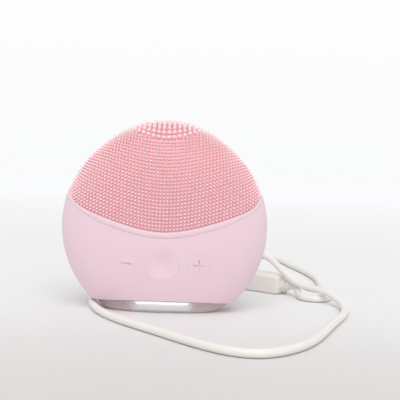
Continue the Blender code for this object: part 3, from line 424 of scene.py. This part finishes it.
# Bright nickel over pressed steel: mirror-like, with faint drawing lines.
nickel = plated_metal("nickel_plated_steel", "#D9D9DA", "#C6C6C9", 0.24, 0.0003)
outer_corner, inner_corner = 0.0005, 0.0003
shell_rings = [usb_ring(*section) for section in (
    (-0.0243, 0.0060, 0.00225, outer_corner), (-0.0361, 0.0060, 0.00225, outer_corner),
    (-0.0365, 0.00585, 0.0021, outer_corner), (-0.0365, 0.0056, 0.00185, inner_corner),
    (-0.0243, 0.0056, 0.00185, inner_corner),
)]
usb_shell = loft("usb_plug_shell_pressed", shell_rings, nickel, tube=True)
window_aside, window_half, window_corner = 0.0027, 0.00125, 0.0002
for side in (-1, 1):
    low = (-0.0326, side * window_aside - window_half, 0)
    high = (-0.0300, side * window_aside + window_half, 2 * usb_middle)
    carve(usb_shell, "DIFFERENCE", block("window", low, high, window_corner, "Z"))
usb_shell.data.transform(usb_place)
usb_shell.data.shade_smooth()
usb_shell.data.set_sharp_from_angle(angle=math.radians(35))
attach(usb_shell, "housing")
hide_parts("usb_plug_shell")


def coat(piece, finish):
    """Gives a piece one finish in place of what it had."""
    piece.data.materials.clear()
    piece.data.materials.append(finish)


# The tongue is black moulded nylon, dark and satin, and its four contacts are bright gilt strips.
black_nylon = soft_plastic("black_moulded_nylon", "#1B1B1D", "#131315", 0.45, 0.004, 0.0003, 0.00002)
usb_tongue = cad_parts["usb_plug_tongue"]
coat(usb_tongue, black_nylon)
gilt = plated_metal("gilt_contact_bronze", "#E3BE6B", "#D2A852", 0.28, 0.0002)
contact_pitch, contact_half, contact_corner = 0.0024, 0.0006, 0.00005
contact_points, contact_faces = [], []
for strip in range(4):
    middle = (strip - 1.5) * contact_pitch
    low, high = (-0.0355, middle - contact_half, 0.00360), (-0.0268, middle + contact_half, 0.00385)
    strip_block = block("strip", low, high, contact_corner)
    offset = len(contact_points)
    contact_points += [v.co.copy() for v in strip_block.data.vertices]
    contact_faces += [[offset + i for i in face.vertices] for face in strip_block.data.polygons]
    bpy.data.objects.remove(strip_block)
usb_contacts = piece_of("usb_plug_contacts", contact_points, contact_faces, gilt)
usb_contacts.data.transform(usb_place)
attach(usb_contacts, "housing")


# The works inside: a circuit board with three switches, chip and lamp, a foil cell on foam tape, a small
# motor with an eccentric weight in a rubber sleeve, the jack, thin wires, and screws. They stay as they are
# in the frame, each with the finish that such a part has.

def dress(finish, *names):
    """Gives the frame's own parts a finish."""
    for name in names:
        coat(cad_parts[name], finish)


# Zinc plate is a soft grey, sintered bronze a dull gold, nylon black, ABS white and satin, rubber and foam
# matt, wire PVC a little glossy, and the lamp's resin milky.
dress(
    plated_metal("zinc_plated_steel", "#C4C6CA", "#A9ABB0", 0.34, 0.0004),
    *(f"shell_screw_{i}" for i in range(1, 5)), *(f"board_screw_{i}" for i in range(1, 5)),
    "foot_screw_left", "foot_screw_right", "bracket_screw_left", "bracket_screw_right",
    "motor_can", "motor_shaft", "eccentric_weight", "jack_plug_pin",
)
dress(plated_metal("sintered_bronze", "#B98A4E", "#97703E", 0.4, 0.0002), "motor_bearing")
dress(
    black_nylon, "control_chip", "minus_switch_case", "power_switch_case", "plus_switch_case",
    "motor_end_cap", "charge_jack",
)
abs_white = soft_plastic("moulded_white_abs", "#EDEBE6", "#E4E2DC", 0.5, 0.02, 0.0005, 0.00003)
dress(
    abs_white, "front_shell", "rear_shell", "motor_bracket",
    *(f"{key}_{part}" for key in ("minus", "power", "plus") for part in ("key_pusher", "switch_plunger")),
)
sealing_rubber = soft_plastic("dark_sealing_rubber", "#2C2C2E", "#222224", 0.7, 0.006, 0.0004, 0.00005)
dress(sealing_rubber, "shell_gasket", "motor_sleeve")
dress(soft_plastic("grey_foam_tape", "#6B6B6D", "#525254", 0.9, 0.002, 0.0006, 0.00015), "battery_tape")
for shade, colour, deep in (("red", "#B4231F", "#971815"), ("black", "#242426", "#18181A")):
    wire_pvc = soft_plastic(f"{shade}_wire_pvc", colour, deep, 0.45, 0.006, 0.0003, 0.00002)
    dress(wire_pvc, f"battery_wire_{shade}", f"motor_wire_{shade}", f"jack_wire_{shade}")
dress(soft_plastic("diffusing_lamp_resin", "#F4F2EA", "#EAE7DC", 0.25, 0.001, 0.0002, 0.00001), "status_lamp")

# Green solder mask over glass-fibre board: copper tracks a quarter of a millimetre wide show as paler lines.
board_finish, tree, where = new_finish("green_solder_mask")
tracks = add(tree, "ShaderNodeTexBrick", {
    "Vector": add(tree, "ShaderNodeMapping", {"Vector": where, "Rotation": (math.pi / 2, 0, 0)}),
    "Color1": linear("#0F5230"), "Color2": linear("#135A36"), "Mortar": linear("#2F8557"), "Scale": 1.0,
    "Mortar Size": 0.00012, "Brick Width": 0.0045, "Row Height": 0.0011,
})
shader = add(tree, "ShaderNodeBsdfPrincipled", {"Base Color": tracks, "Roughness": 0.35})
add(tree, "ShaderNodeOutputMaterial", {"Surface": shader})
dress(board_finish, "circuit_board")

# Aluminium pouch foil: dull silver, softly crinkled every couple of millimetres.
foil, tree, where = new_finish("aluminium_pouch_foil")
crinkle_size = 0.0022
crinkle = add(tree, "ShaderNodeTexVoronoi", {"Vector": where, "Scale": 1 / crinkle_size})
bump = add(tree, "ShaderNodeBump", {"Height": crinkle, "Strength": 0.3, "Distance": 0.0001})
tint = add(tree, "ShaderNodeMixRGB", {
    "Fac": crinkle, "Color1": linear("#C9CBCE"), "Color2": linear("#AEB0B4"),
})
shader = add(tree, "ShaderNodeBsdfPrincipled", {
    "Base Color": tint, "Metallic": 0.9, "Roughness": 0.38, "Normal": bump,
})
add(tree, "ShaderNodeOutputMaterial", {"Surface": shader})
dress(foil, "battery_cell")


# The foot is clear polished acrylic, moulded hollow under the skin and screwed up from inside. Its ends are
# tinted grey-mauve as a painted reflection of the pink body, and a painted glow lights its lower edge and the
# bright guide in its middle, which spreads the lamp's light.

body_radius = 0.0384
body_half_depth = 0.0158
body_middle = 0.0311
lens_power = 2.4
clear_of_body = 0.06


def lens_share(points, inset):
    """One on the lens that lies inset under the body's surface, less inside it and more outside."""
    out = np.hypot(points[:, 0], points[:, 2] - body_middle) / (body_radius - inset)
    deep = np.abs(points[:, 1]) / (body_half_depth - inset)
    return (out**lens_power + deep**lens_power) ** (1 / lens_power)


foot_arch_radius, foot_arch_top = 0.231, 0.0047
foot_inset, foot_wall, foot_floor, foot_edge = 0.0010, 0.0018, 0.0012, 0.0011
foot_chamfer, foot_sides, foot_squeeze = 0.00015, 240, 0.32
turn = whole_turn(foot_sides)
foot_angles = np.arctan2(foot_squeeze * np.sin(turn), np.cos(turn))


def foot_ring(level, inset, low=0):
    """One ring round the foot, level 0 at the height low and 1 on the flat arch of its top edge."""
    near, far = np.zeros(foot_sides), np.full(foot_sides, clear_of_body)
    halvings = 40
    for _ in range(halvings):
        reach = (near + far) / 2
        x = reach * np.cos(foot_angles)
        top = foot_arch_top - foot_arch_radius + np.sqrt(foot_arch_radius**2 - x**2)
        ring = np.column_stack([x, reach * np.sin(foot_angles), low + level * (top - low)])
        inside = lens_share(ring, inset) < 1
        near, far = np.where(inside, reach, near), np.where(inside, far, reach)
    return ring


foot_rings = []
for step in range(9):
    bend = step / 8 * math.pi / 2
    level = foot_edge / foot_arch_top * (1 - math.cos(bend))
    foot_rings.append(foot_ring(level, foot_inset + foot_edge * (1 - math.sin(bend))))
foot_rings += [foot_ring(level, foot_inset) for level in np.linspace(0.3, 0.97, 8)]
foot_rings += [foot_ring(1, foot_inset + foot_chamfer), foot_ring(1, foot_inset + foot_wall)]
foot_rings += [foot_ring(level, foot_inset + foot_wall, foot_floor) for level in np.linspace(0.9, 0, 6)]

# Polished acrylic, index 1.49: clear in the middle, less clear and tinted grey-mauve towards the ends as a
# painted reflection of the pink body, with a painted glow along its lower edge that is a little stronger at
# the ends.
acrylic, tree, where = new_finish("clear_polished_acrylic")
place = add(tree, "ShaderNodeSeparateXYZ", {0: where})
aside = add(tree, "ShaderNodeMath", {0: place.outputs["X"]}, operation="ABSOLUTE")
lean = add(tree, "ShaderNodeMath", {0: place.outputs["Z"], 1: -0.85, 2: aside}, operation="MULTIPLY_ADD")
# The grey-mauve tint of the ends is a painted reflection of the pink body.
smoke = add(tree, "ShaderNodeMapRange", {"Value": lean, "From Min": 0.0090, "From Max": 0.0098})
tint = add(tree, "ShaderNodeMixRGB", {"Fac": smoke, "Color1": linear("#FFFFFF"), "Color2": linear("#BCA9AB")})
clear = add(tree, "ShaderNodeMapRange", {"Value": smoke, "To Min": 0.72, "To Max": 0.0})
# Painted glow: the acrylic shines along its lower edge, a little more at the ends.
glow = add(tree, "ShaderNodeMapRange", {
    "Value": place.outputs["Z"], "From Min": 0.0002, "From Max": 0.0034, "To Min": 1.0, "To Max": 0.1,
})
caught = add(tree, "ShaderNodeMapRange", {"Value": smoke, "To Min": 0.05, "To Max": 0.22})
glow = add(tree, "ShaderNodeMath", {0: glow, 1: caught}, operation="MULTIPLY")
shader = add(tree, "ShaderNodeBsdfPrincipled", {
    "Base Color": tint, "Roughness": 0.04, "IOR": 1.49, "Transmission Weight": clear,
    "Emission Color": tint, "Emission Strength": glow,
})
add(tree, "ShaderNodeOutputMaterial", {"Surface": shader})
foot = loft("acrylic_foot", foot_rings, acrylic, 40)
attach(foot, "housing")
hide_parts("clear_foot")

# Frosted acrylic guide: a block in two steps, which spreads the lamp's light along the foot with a painted
# glow.
guide_corner = 0.0006
guide_rings = []
for height, half_width, half_depth in (
    (0.0016, 0.0086, 0.0040), (0.0017, 0.0089, 0.0042), (0.0026, 0.0097, 0.0043), (0.0027, 0.0092, 0.0036),
    (0.0029, 0.0092, 0.0036), (0.0030, 0.0103, 0.0043), (0.0038, 0.0115, 0.0044), (0.0040, 0.0113, 0.0042),
):
    outline = rounded(half_width, half_depth, guide_corner, 3)
    guide_rings.append(np.column_stack([outline, np.full(len(outline), height)]))
frosted, tree, where = new_finish("frosted_acrylic")
place = add(tree, "ShaderNodeSeparateXYZ", {0: where})
# Painted light: the upper step is lighter than the lower.
level = add(tree, "ShaderNodeMapRange", {"Value": place.outputs["Z"], "From Min": 0.0022, "From Max": 0.0034})
streak = 0.0012
stretch = add(tree, "ShaderNodeMapping", {"Vector": where, "Scale": (0.15, 1, 1)})
# Painted white swooshes of reflection, stretched along the guide.
painted_swooshes = add(tree, "ShaderNodeTexNoise", {"Vector": stretch, "Scale": 1 / streak, "Detail": 1.0})
bright = add(tree, "ShaderNodeMath", {0: painted_swooshes, 1: 1.1, 2: level}, operation="MULTIPLY_ADD")
tint = add(tree, "ShaderNodeMixRGB", {
    "Fac": bright, "Color1": linear("#C6C2CC"), "Color2": linear("#FFFFFF"),
})
# Painted glow: the guide shines on its own.
shader = add(tree, "ShaderNodeBsdfPrincipled", {
    "Base Color": tint, "Roughness": 0.3, "Emission Color": tint, "Emission Strength": 0.68,
})
add(tree, "ShaderNodeOutputMaterial", {"Surface": shader})
guide = loft("frosted_light_guide", guide_rings, frosted, 25)
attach(guide, "housing")
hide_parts("light_guide")


# The skins are two lens-shaped halves of pale pink silicone, moulded 2.2 mm thick over the inner shells and
# bonded along the rim. A soft lip runs along the seam where each meets its brush pad.

def lens_normal(points, inset):
    """The outward direction of that lens at points on it."""
    radius, half_depth = body_radius - inset, body_half_depth - inset
    aside = points * (1, 0, 1) - (0, 0, body_middle)
    out = np.maximum(np.linalg.norm(aside, axis=1), 1e-9)
    steep = np.sign(points[:, 1]) * (np.abs(points[:, 1]) / half_depth) ** (lens_power - 1) / half_depth
    slope = (out / radius) ** (lens_power - 1) / radius / out
    normal = aside * slope[:, None]
    normal[:, 1] = steep
    return normal / np.linalg.norm(normal, axis=1)[:, None]


def lens_at(x, z, inset, side):
    """Points of that lens at (x, z), on the front (-1) or the rear (1)."""
    share = np.minimum(np.hypot(x, z - body_middle) / (body_radius - inset), 1)
    y = side * (body_half_depth - inset) * (1 - share**lens_power) ** (1 / lens_power)
    return np.column_stack([x, y, z])


def lens_solid(name, inset, rows, sectors):
    """The whole lens as one closed form, in rings about its axis."""
    angles = whole_turn(sectors)
    rings = []
    for row in np.linspace(0.0, math.pi, rows + 1)[1:-1]:
        out = (body_radius - inset) * math.sin(row) ** (2 / lens_power)
        y = -(body_half_depth - inset) * math.copysign(abs(math.cos(row)) ** (2 / lens_power), math.cos(row))
        x, z = out * np.cos(angles), body_middle + out * np.sin(angles)
        rings.append(np.column_stack([x, np.full(sectors, y), z]))
    return loft(name, rings, None)


def prism(outline, near, far):
    """A tool with an outline in (x, z), run along Y from near to far."""
    rings = [np.column_stack([outline[:, 0], np.full(len(outline), y), outline[:, 1]]) for y in (near, far)]
    return loft("tool", rings, None)


def circle(x, z, radius, sides):
    """The outline of a circle in (x, z)."""
    angles = whole_turn(sides)
    return np.column_stack([x + radius * np.cos(angles), z + radius * np.sin(angles)])


seam_low, seam_bend, seam_slope = 0.0302, 0.0062, 0.41
turn_up, turn_up_at, turn_up_power = 0.0042, 0.0366, 14


def seam_height(x):
    """How high the seam runs at x: it smiles across the front and turns up at the rim."""
    smile = seam_low - seam_bend + np.sqrt(seam_bend**2 + (seam_slope * x) ** 2)
    return smile + turn_up * (x / turn_up_at) ** turn_up_power


def seam_line(half_width, count):
    """Points along the seam as (x, z), closer together towards the ends."""
    x = half_width * np.sin(np.linspace(-math.pi / 2, math.pi / 2, count))
    return np.column_stack([x, seam_height(x)])


def above_seam(near, far):
    """A tool that takes all that lies above the seam."""
    wide, top = 0.041, 0.12
    return prism(np.concatenate([seam_line(wide, 240), [(wide, top), (-wide, top)]]), near, far)


def smooth_as_lens(piece, *insets):
    """Gives faces on a lens that lens's own normals, so that cuts and joints leave no mark in the shading."""
    mesh = piece.data
    mesh.shade_smooth()
    mesh.set_sharp_from_angle(angle=math.radians(30))
    normals = np.array([corner.vector for corner in mesh.corner_normals])
    points = np.array([point.co for point in mesh.vertices])
    corner_point = np.array([corner.vertex_index for corner in mesh.loops])
    face_normals = np.array([face.normal for face in mesh.polygons])
    corner_face = np.repeat(np.arange(len(mesh.polygons)), [face.loop_total for face in mesh.polygons])
    close, alike = 0.001, 0.8
    for inset in insets:
        on = np.abs(lens_share(points, inset) - 1) < close
        true = lens_normal(points, inset)[corner_point]
        agree = np.einsum("ij,ij->i", true, face_normals[corner_face])
        take = on[corner_point] & (np.abs(agree) > alike)
        normals[take] = true[take] * np.sign(agree[take])[:, None]
    mesh.normals_split_custom_set(normals.tolist())


def silicone(name, colour, deep, tip=None, highlight_start=0.46):
    """Moulded silicone: satin, with a fine bloom; light sinks in a little, and points pale towards a tip in a
    painted highlight.
    """
    cloud, grain = 0.016, 0.0003
    finish, tree, where = new_finish(name)
    drift = add(tree, "ShaderNodeTexNoise", {"Vector": where, "Scale": 1 / cloud, "Detail": 2.0})
    tint = add(tree, "ShaderNodeMixRGB", {"Fac": drift, "Color1": linear(deep), "Color2": linear(colour)})
    if tip:
        height = add(tree, "ShaderNodeAttribute", attribute_name="height")
        shade = add(tree, "ShaderNodeAttribute", attribute_name="shade")
        # Painted highlight: each point lightens towards its tip, by a random share per point.
        crest = add(tree, "ShaderNodeMapRange", {
            "Value": height.outputs["Fac"], "From Min": highlight_start, "From Max": highlight_start + 0.28,
        }, interpolation_type="SMOOTHSTEP")
        tip_highlight = add(tree, "ShaderNodeMath", {0: crest, 1: shade.outputs["Fac"]}, operation="MULTIPLY")
        tint = add(tree, "ShaderNodeMixRGB", {"Fac": tip_highlight, "Color1": tint, "Color2": linear(tip)})
    speck = add(tree, "ShaderNodeTexNoise", {"Vector": where, "Scale": 1 / grain, "Detail": 2.0})
    rough = add(tree, "ShaderNodeMapRange", {
        "Value": speck, "From Min": 0.3, "From Max": 0.7, "To Min": 0.44, "To Max": 0.56,
    })
    bump = add(tree, "ShaderNodeBump", {"Height": speck, "Strength": 0.15, "Distance": 0.00002})
    shader = add(tree, "ShaderNodeBsdfPrincipled", {
        "Base Color": tint, "Roughness": rough, "Normal": bump, "IOR": 1.41,
        "Subsurface Weight": 0.15, "Subsurface Radius": (1.0, 0.45, 0.5), "Subsurface Scale": 0.0012,
        "Sheen Weight": 0.08, "Sheen Roughness": 0.5,
    })
    add(tree, "ShaderNodeOutputMaterial", {"Surface": shader})
    return finish


skin_wall = 0.0022
skin_arch_radius, skin_arch_top = 0.2313, 0.0050
parting_gap = 0.00003
skin_silicone = silicone("pale_pink_silicone", "#ECD1DB", "#EACFD9")


def half_span(side):
    """From the parting plane out past the body on one side, as (near, far) along Y."""
    return sorted((side * parting_gap, side * clear_of_body))


def skin_half(name, side):
    """One half of the skin, cut for the foot and along the seam."""
    layer = carve(lens_solid(name, 0, 96, 192), "DIFFERENCE", lens_solid("hollow", skin_wall, 64, 128))
    out, low, high = clear_of_body, -0.02, 0.09
    whole = np.array([(-out, low), (out, low), (out, high), (-out, high)])
    carve(layer, "INTERSECT", prism(whole, *half_span(side)))
    x = np.linspace(-0.05, 0.05, 160)
    arch = np.column_stack([x, skin_arch_top - skin_arch_radius + np.sqrt(skin_arch_radius**2 - x**2)])
    under = np.concatenate([arch, [(x[-1], -0.05), (x[0], -0.05)]])
    carve(layer, "DIFFERENCE", prism(under, -out, out), above_seam(-out, out))
    return layer


def lip(name, side):
    """The soft lip along the seam: broad in the middle, a third as wide where the seam meets the rim."""
    broad, narrow, run_out, steps = 0.0021, 0.35, 2.4, 6
    trial = np.linspace(0, body_radius, 4000)
    end = np.interp(body_radius, np.hypot(trial, seam_height(trial) - body_middle), trial)
    path = seam_line(end - 1e-9, 260)
    wide = narrow + (1 - narrow) * np.minimum(1, run_out * (1 - np.abs(path[:, 0]) / end))
    slope = np.gradient(path[:, 1], path[:, 0])
    away = np.column_stack([slope, np.zeros(len(path)), -np.ones(len(path))]) / np.hypot(slope, 1)[:, None]
    base = lens_at(path[:, 0], path[:, 1], 0, side)
    middle = np.array((0, 0, body_middle))
    rings = []
    for share, height in (
        (0.00, -0.0012), (0.00, -0.0004), (0.00, 0.0000), (0.03, 0.00012), (0.12, 0.00022), (0.30, 0.00027),
        (0.60, 0.00026), (0.86, 0.00020), (0.96, 0.00011), (1.00, -0.00003), (1.00, -0.0008),
    ):
        points = base.copy()
        for _ in range(steps):
            normal = lens_normal(points, 0)
            way = away - normal * np.einsum("ij,ij->i", away, normal)[:, None]
            way /= np.linalg.norm(way, axis=1)[:, None]
            points = points + way * (share * broad * wide / steps)[:, None]
            points = middle + (points - middle) / lens_share(points, 0)[:, None]
        lift = height * (0.4 + 0.6 * wide) if height > 0 else np.full(len(path), height)
        rings.append(points + lens_normal(points, 0) * lift[:, None])
    return loft(name, list(np.array(rings).transpose(1, 0, 2)), skin_silicone, 60)


key_height, key_spacing, power_radius, step_radius = 0.01855, 0.0133, 0.0062, 0.0045
keys = {
    "minus": (-key_spacing, step_radius), "power": (0.0, power_radius), "plus": (key_spacing, step_radius),
}
key_sides, key_gap, jack_opening, tool_reach = 72, 0.00001, 0.0042, 0.03

front_skin = skin_half("front_silicone_skin", -1)
carve(front_skin, "DIFFERENCE", *(
    prism(circle(x, key_height, radius + key_gap, key_sides), -tool_reach, 0.0) for x, radius in keys.values()
))
rear_skin = skin_half("rear_silicone_skin", 1)
carve(rear_skin, "DIFFERENCE", prism(circle(0, jack_height, jack_opening, 64), 0.0, tool_reach))
for half, node in ((front_skin, "front_skin"), (rear_skin, "rear_skin")):
    smooth_as_lens(half, 0, skin_wall)
    coat(half, skin_silicone)
    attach(half, "housing")
    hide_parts(node)
for name, side in (("front_lip", -1), ("rear_lip", 1)):
    edge = lip(name, side)
    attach(edge, "housing")


# The three keys are spots of the same silicone over pushers: a broad shallow hollow for power, and a sunk
# minus and plus at its sides. Each presses in a little on its own.

def stadium(x, z, length, width, upright):
    """The outline of a straight mark with round ends."""
    angles = np.linspace(-math.pi / 2, math.pi / 2, 9)
    reach = (length - width) / 2
    right = np.column_stack([reach + width / 2 * np.cos(angles), width / 2 * np.sin(angles)])
    outline = np.concatenate([right, -right])
    return (outline[:, ::-1] * (-1, 1) if upright else outline) + (x, z)


power_hollow, mark_length, mark_width, mark_depth = 0.0008, 0.0043, 0.0005, 0.00035
mark_bars_upright = {"minus": (False,), "power": (), "plus": (False, True)}
for label, (key_x, radius) in keys.items():
    rings = []
    for share in np.linspace(0.02, 1, 26):
        x, z = circle(key_x, key_height, radius * share, key_sides).T
        ring = lens_at(x, z, 0, -1)
        if label == "power":
            ring -= lens_normal(ring, 0) * power_hollow * (1 - share**2) ** 2
        rings.append(ring)
    rings.append(lens_at(x, z, skin_wall, -1))
    cap = loft(f"{label}_key_spot", rings, skin_silicone)
    face_y = lens_at(np.array([key_x]), np.array([key_height]), 0, -1)[0, 1]
    for upright in mark_bars_upright[label]:
        bar = stadium(key_x, key_height, mark_length, mark_width, upright)
        carve(cap, "DIFFERENCE", prism(bar, -tool_reach, face_y + mark_depth))
    smooth_as_lens(cap, 0)
    coat(cap, skin_silicone)
    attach(cap, f"{label}_key")
    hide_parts(f"{label}_key_cap")


# The brush pads are moulded over the shells above the seams, of the same pink silicone as the skins; their
# deeper rose is painted shade for the gaps between the points. Fine touch-points stand on them in rows that
# follow the seam, coarser ones on the back, and thick ones on the crown. Each pales towards its round tip in
# a painted highlight.

pad_recess = 0.0012
# The deeper rose of the pads and points is painted shade for the gaps between the points.
pad_silicone = silicone("rose_silicone", "#F3BDC4", "#F1B8C0")
# The near-white tip colours of the points are painted highlights.
point_silicone = silicone("rose_silicone_points", "#F9CED3", "#F7C9CF", "#FFF0F1")
crown_silicone = silicone("rose_silicone_crown_points", "#F7D2D7", "#F5CDD3", "#FFEBED", 0.58)


def touch_point_tree(finish, length, root, tip, rings, sides):
    """Nodes that stand a round-tipped point on every place given, square to the pad and a little sunk in."""
    sunk, shaft_share, dome_turn, bluntness = 0.0003, 0.4, 1.4, 0.7
    tree = bpy.data.node_groups.new("touch_points", "GeometryNodeTree")
    tree.interface.new_socket("Places", in_out="INPUT", socket_type="NodeSocketGeometry")
    tree.interface.new_socket("Points", in_out="OUTPUT", socket_type="NodeSocketGeometry")
    places = add(tree, "NodeGroupInput")
    line = add(tree, "GeometryNodeCurvePrimitiveLine", {"End": (0, 0, 1)})
    line = add(tree, "GeometryNodeResampleCurve", {"Curve": line, "Count": rings})
    along = add(tree, "GeometryNodeSplineParameter").outputs["Factor"]
    side = add(tree, "ShaderNodeMapRange", {"Value": along, "From Max": shaft_share})
    dome = add(tree, "ShaderNodeMapRange", {"Value": along, "From Min": shaft_share, "To Max": dome_turn})
    straight = add(tree, "ShaderNodeMath", {0: side, 1: length - tip + sunk}, operation="MULTIPLY")
    sine = add(tree, "ShaderNodeMath", {0: dome}, operation="SINE")
    z = add(tree, "ShaderNodeMath", {0: sine, 1: tip, 2: straight}, operation="MULTIPLY_ADD")
    z = add(tree, "ShaderNodeMath", {0: z, 1: sunk}, operation="SUBTRACT")
    spot = add(tree, "ShaderNodeCombineXYZ", {"Z": z})
    line = add(tree, "GeometryNodeSetPosition", {"Geometry": line, "Position": spot})
    girth = add(tree, "ShaderNodeMapRange", {
        "Value": along, "From Max": shaft_share, "To Min": root, "To Max": tip,
    })
    cosine = add(tree, "ShaderNodeMath", {0: dome}, operation="COSINE")
    blunt = add(tree, "ShaderNodeMath", {0: cosine, 1: bluntness}, operation="POWER")
    girth = add(tree, "ShaderNodeMath", {0: girth, 1: blunt}, operation="MULTIPLY")
    outline = add(tree, "GeometryNodeCurvePrimitiveCircle", {"Resolution": sides, "Radius": 1.0})
    point = add(tree, "GeometryNodeCurveToMesh", {
        "Curve": line, "Profile Curve": outline, "Scale": girth, "Fill Caps": True,
    })
    up = add(tree, "ShaderNodeSeparateXYZ", {0: add(tree, "GeometryNodeInputPosition")})
    height = add(tree, "ShaderNodeMath", {0: up.outputs["Z"], 1: length}, operation="DIVIDE")
    point = add(tree, "GeometryNodeStoreNamedAttribute", {
        "Geometry": point, "Name": "height", "Value": height,
    }, data_type="FLOAT", domain="POINT")
    point = add(tree, "GeometryNodeSetShadeSmooth", {0: point})
    facing = add(tree, "GeometryNodeInputNamedAttribute", {"Name": "facing"}, data_type="FLOAT_VECTOR")
    tall_here = add(tree, "GeometryNodeInputNamedAttribute", {"Name": "tall"}, data_type="FLOAT")
    stand = add(tree, "FunctionNodeAlignRotationToVector", {"Vector": facing}, axis="Z")
    field = add(tree, "GeometryNodeInstanceOnPoints", {
        "Points": places, "Instance": point, "Rotation": stand,
        "Scale": add(tree, "ShaderNodeCombineXYZ", {"X": 1.0, "Y": 1.0, "Z": tall_here}),
    })
    chance = add(tree, "FunctionNodeRandomValue", {2: 0.75, 3: 1.0, "Seed": 7}, data_type="FLOAT")
    field = add(tree, "GeometryNodeStoreNamedAttribute", {
        "Geometry": field, "Name": "shade", "Value": chance.outputs[1],
    }, data_type="FLOAT", domain="INSTANCE")
    field = add(tree, "GeometryNodeRealizeInstances", {0: field})
    field = add(tree, "GeometryNodeSetMaterial", {"Geometry": field, "Material": finish})
    add(tree, "NodeGroupOutput", {0: field})
    return tree


# The pad's surface from its middle to the rim, by which places are laid out at their true distances.
meridian = np.linspace(0, math.pi / 2, 400)
meridian_out = (body_radius - pad_recess) * np.sin(meridian) ** (2 / lens_power)
meridian_deep = (body_half_depth - pad_recess) * np.cos(meridian) ** (2 / lens_power)
meridian_length = np.concatenate([
    [0], np.cumsum(np.hypot(np.diff(meridian_out), np.diff(meridian_deep))),
])
rim_far = meridian_length[-1]
crown_start, crown_half, crown_bow = 0.0629, 0.0134, 0.034
crown_low = np.interp(crown_start - body_middle, meridian_out, meridian_length)


def unrolled(spread):
    """(x, z) from places laid out flat about the lens's middle, at their true distance along its surface."""
    far = np.linalg.norm(spread, axis=1)
    out = np.interp(far, meridian_length, meridian_out)
    return spread * (out / np.maximum(far, 1e-9))[:, None] + (0, body_middle)


def crown_line(across):
    """How far up the unrolled pad the crown's lower arc lies."""
    return crown_low + across**2 / crown_bow


def fine_places(pitch, margin):
    """Places in rows that follow the seam, over the whole pad except the crown, and how tall each stands."""
    seam_half = 0.0355
    seam = seam_line(seam_half, 400) - (0, body_middle)
    far = np.linalg.norm(seam, axis=1)
    seam *= (np.interp(far, meridian_out, meridian_length) / far)[:, None]
    # Parts of a pitch keep the rows clear of the seam, of the ring along the rim and of the crown.
    columns = int(rim_far / pitch)
    across, row = np.meshgrid(np.arange(-columns, columns + 1) * pitch, np.arange(2 * columns))
    up = np.interp(across, seam[:, 0], seam[:, 1]) + margin + (row + 0.35) * pitch
    flat = np.column_stack([across.ravel(), up.ravel()])
    flat = flat[np.linalg.norm(flat, axis=1) < rim_far - 1.2 * pitch]
    turns = np.arange(0, 2 * math.pi, pitch / meridian_out[-1])
    rim = (rim_far - 0.45 * pitch) * np.column_stack([np.sin(turns), np.cos(turns)])
    flat = np.concatenate([flat, rim])
    below = flat[:, 1] < crown_line(flat[:, 0]) - 0.15 * pitch
    places = unrolled(flat[below | (np.abs(flat[:, 0]) > crown_half + 0.2 * pitch)])
    places = places[places[:, 1] > seam_height(places[:, 0]) + margin]
    x, up = places[:, 0], places[:, 1] - body_middle
    edge_start, edge_width, beside_width, shorter, taller = 0.029, 0.008, 0.011, 0.15, 0.65
    edge = np.clip((np.hypot(x, up) - edge_start) / edge_width, 0, 1)
    beside_crown = np.clip(1 - (np.abs(x) - crown_half) / beside_width, 0, 1) * (up > 0)
    return places, 1 + edge * (taller * beside_crown - shorter)


def crown_places(pitch):
    """Places in rows that follow the crown's lower arc up to the top edge, where they stand tallest."""
    half_columns, rows, row_share = 7, 6, 1.08
    least, more, steep = 0.58, 0.52, 2.2
    across, row = np.meshgrid((np.arange(-half_columns, half_columns) + 0.5) * pitch, np.arange(rows) + 0.5)
    flat = np.column_stack([across.ravel(), (crown_line(across) + row_share * row * pitch).ravel()])
    flat = flat[np.linalg.norm(flat, axis=1) < rim_far - 0.3 * pitch]
    low = crown_line(flat[:, 0])
    top = np.sqrt(rim_far**2 - flat[:, 0] ** 2)
    rise = (flat[:, 1] - low) / (top - low)
    return unrolled(flat), least + more * rise**steep


def stand_points(name, spread, side, finish, **sizes):
    """Turns places into a field of touch-points on one side of the brush."""
    places, tall = spread
    points = lens_at(places[:, 0], places[:, 1], pad_recess, side)
    mesh = bpy.data.meshes.new(name)
    mesh.from_pydata(points.tolist(), [], [])
    facing = mesh.attributes.new("facing", "FLOAT_VECTOR", "POINT")
    facing.data.foreach_set("vector", lens_normal(points, pad_recess).ravel())
    mesh.attributes.new("tall", "FLOAT", "POINT").data.foreach_set("value", tall)
    piece = bpy.data.objects.new(name, mesh)
    scene.collection.objects.link(piece)
    growth = piece.modifiers.new("growth", "NODES")
    growth.node_group = touch_point_tree(finish, **sizes)
    graph = bpy.context.evaluated_depsgraph_get()
    grown = bpy.data.meshes.new_from_object(piece.evaluated_get(graph))
    piece.modifiers.clear()
    piece.data = grown
    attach(piece, "housing")


for name, node, side in (("front_pad", "front_brush_pad", -1), ("rear_pad", "rear_brush_pad", 1)):
    pad = carve(lens_solid(name, pad_recess, 80, 160), "DIFFERENCE", lens_solid("hollow", skin_wall, 64, 128))
    carve(pad, "INTERSECT", above_seam(*half_span(side)))
    smooth_as_lens(pad, pad_recess, skin_wall)
    coat(pad, pad_silicone)
    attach(pad, "housing")
    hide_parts(node)
stand_points(
    "front_touch_points", fine_places(pitch=0.00127, margin=0.0005), -1, point_silicone,
    length=0.00138, root=0.00046, tip=0.00041, rings=7, sides=7,
)
stand_points(
    "rear_touch_points", fine_places(pitch=0.0021, margin=0.0010), 1, point_silicone,
    length=0.00150, root=0.00074, tip=0.00066, rings=8, sides=9,
)
for name, side in (("front_crown_points", -1), ("rear_crown_points", 1)):
    stand_points(
        name, crown_places(pitch=0.00194), side, crown_silicone,
        length=0.0029, root=0.00066, tip=0.00080, rings=10, sides=12,
    )
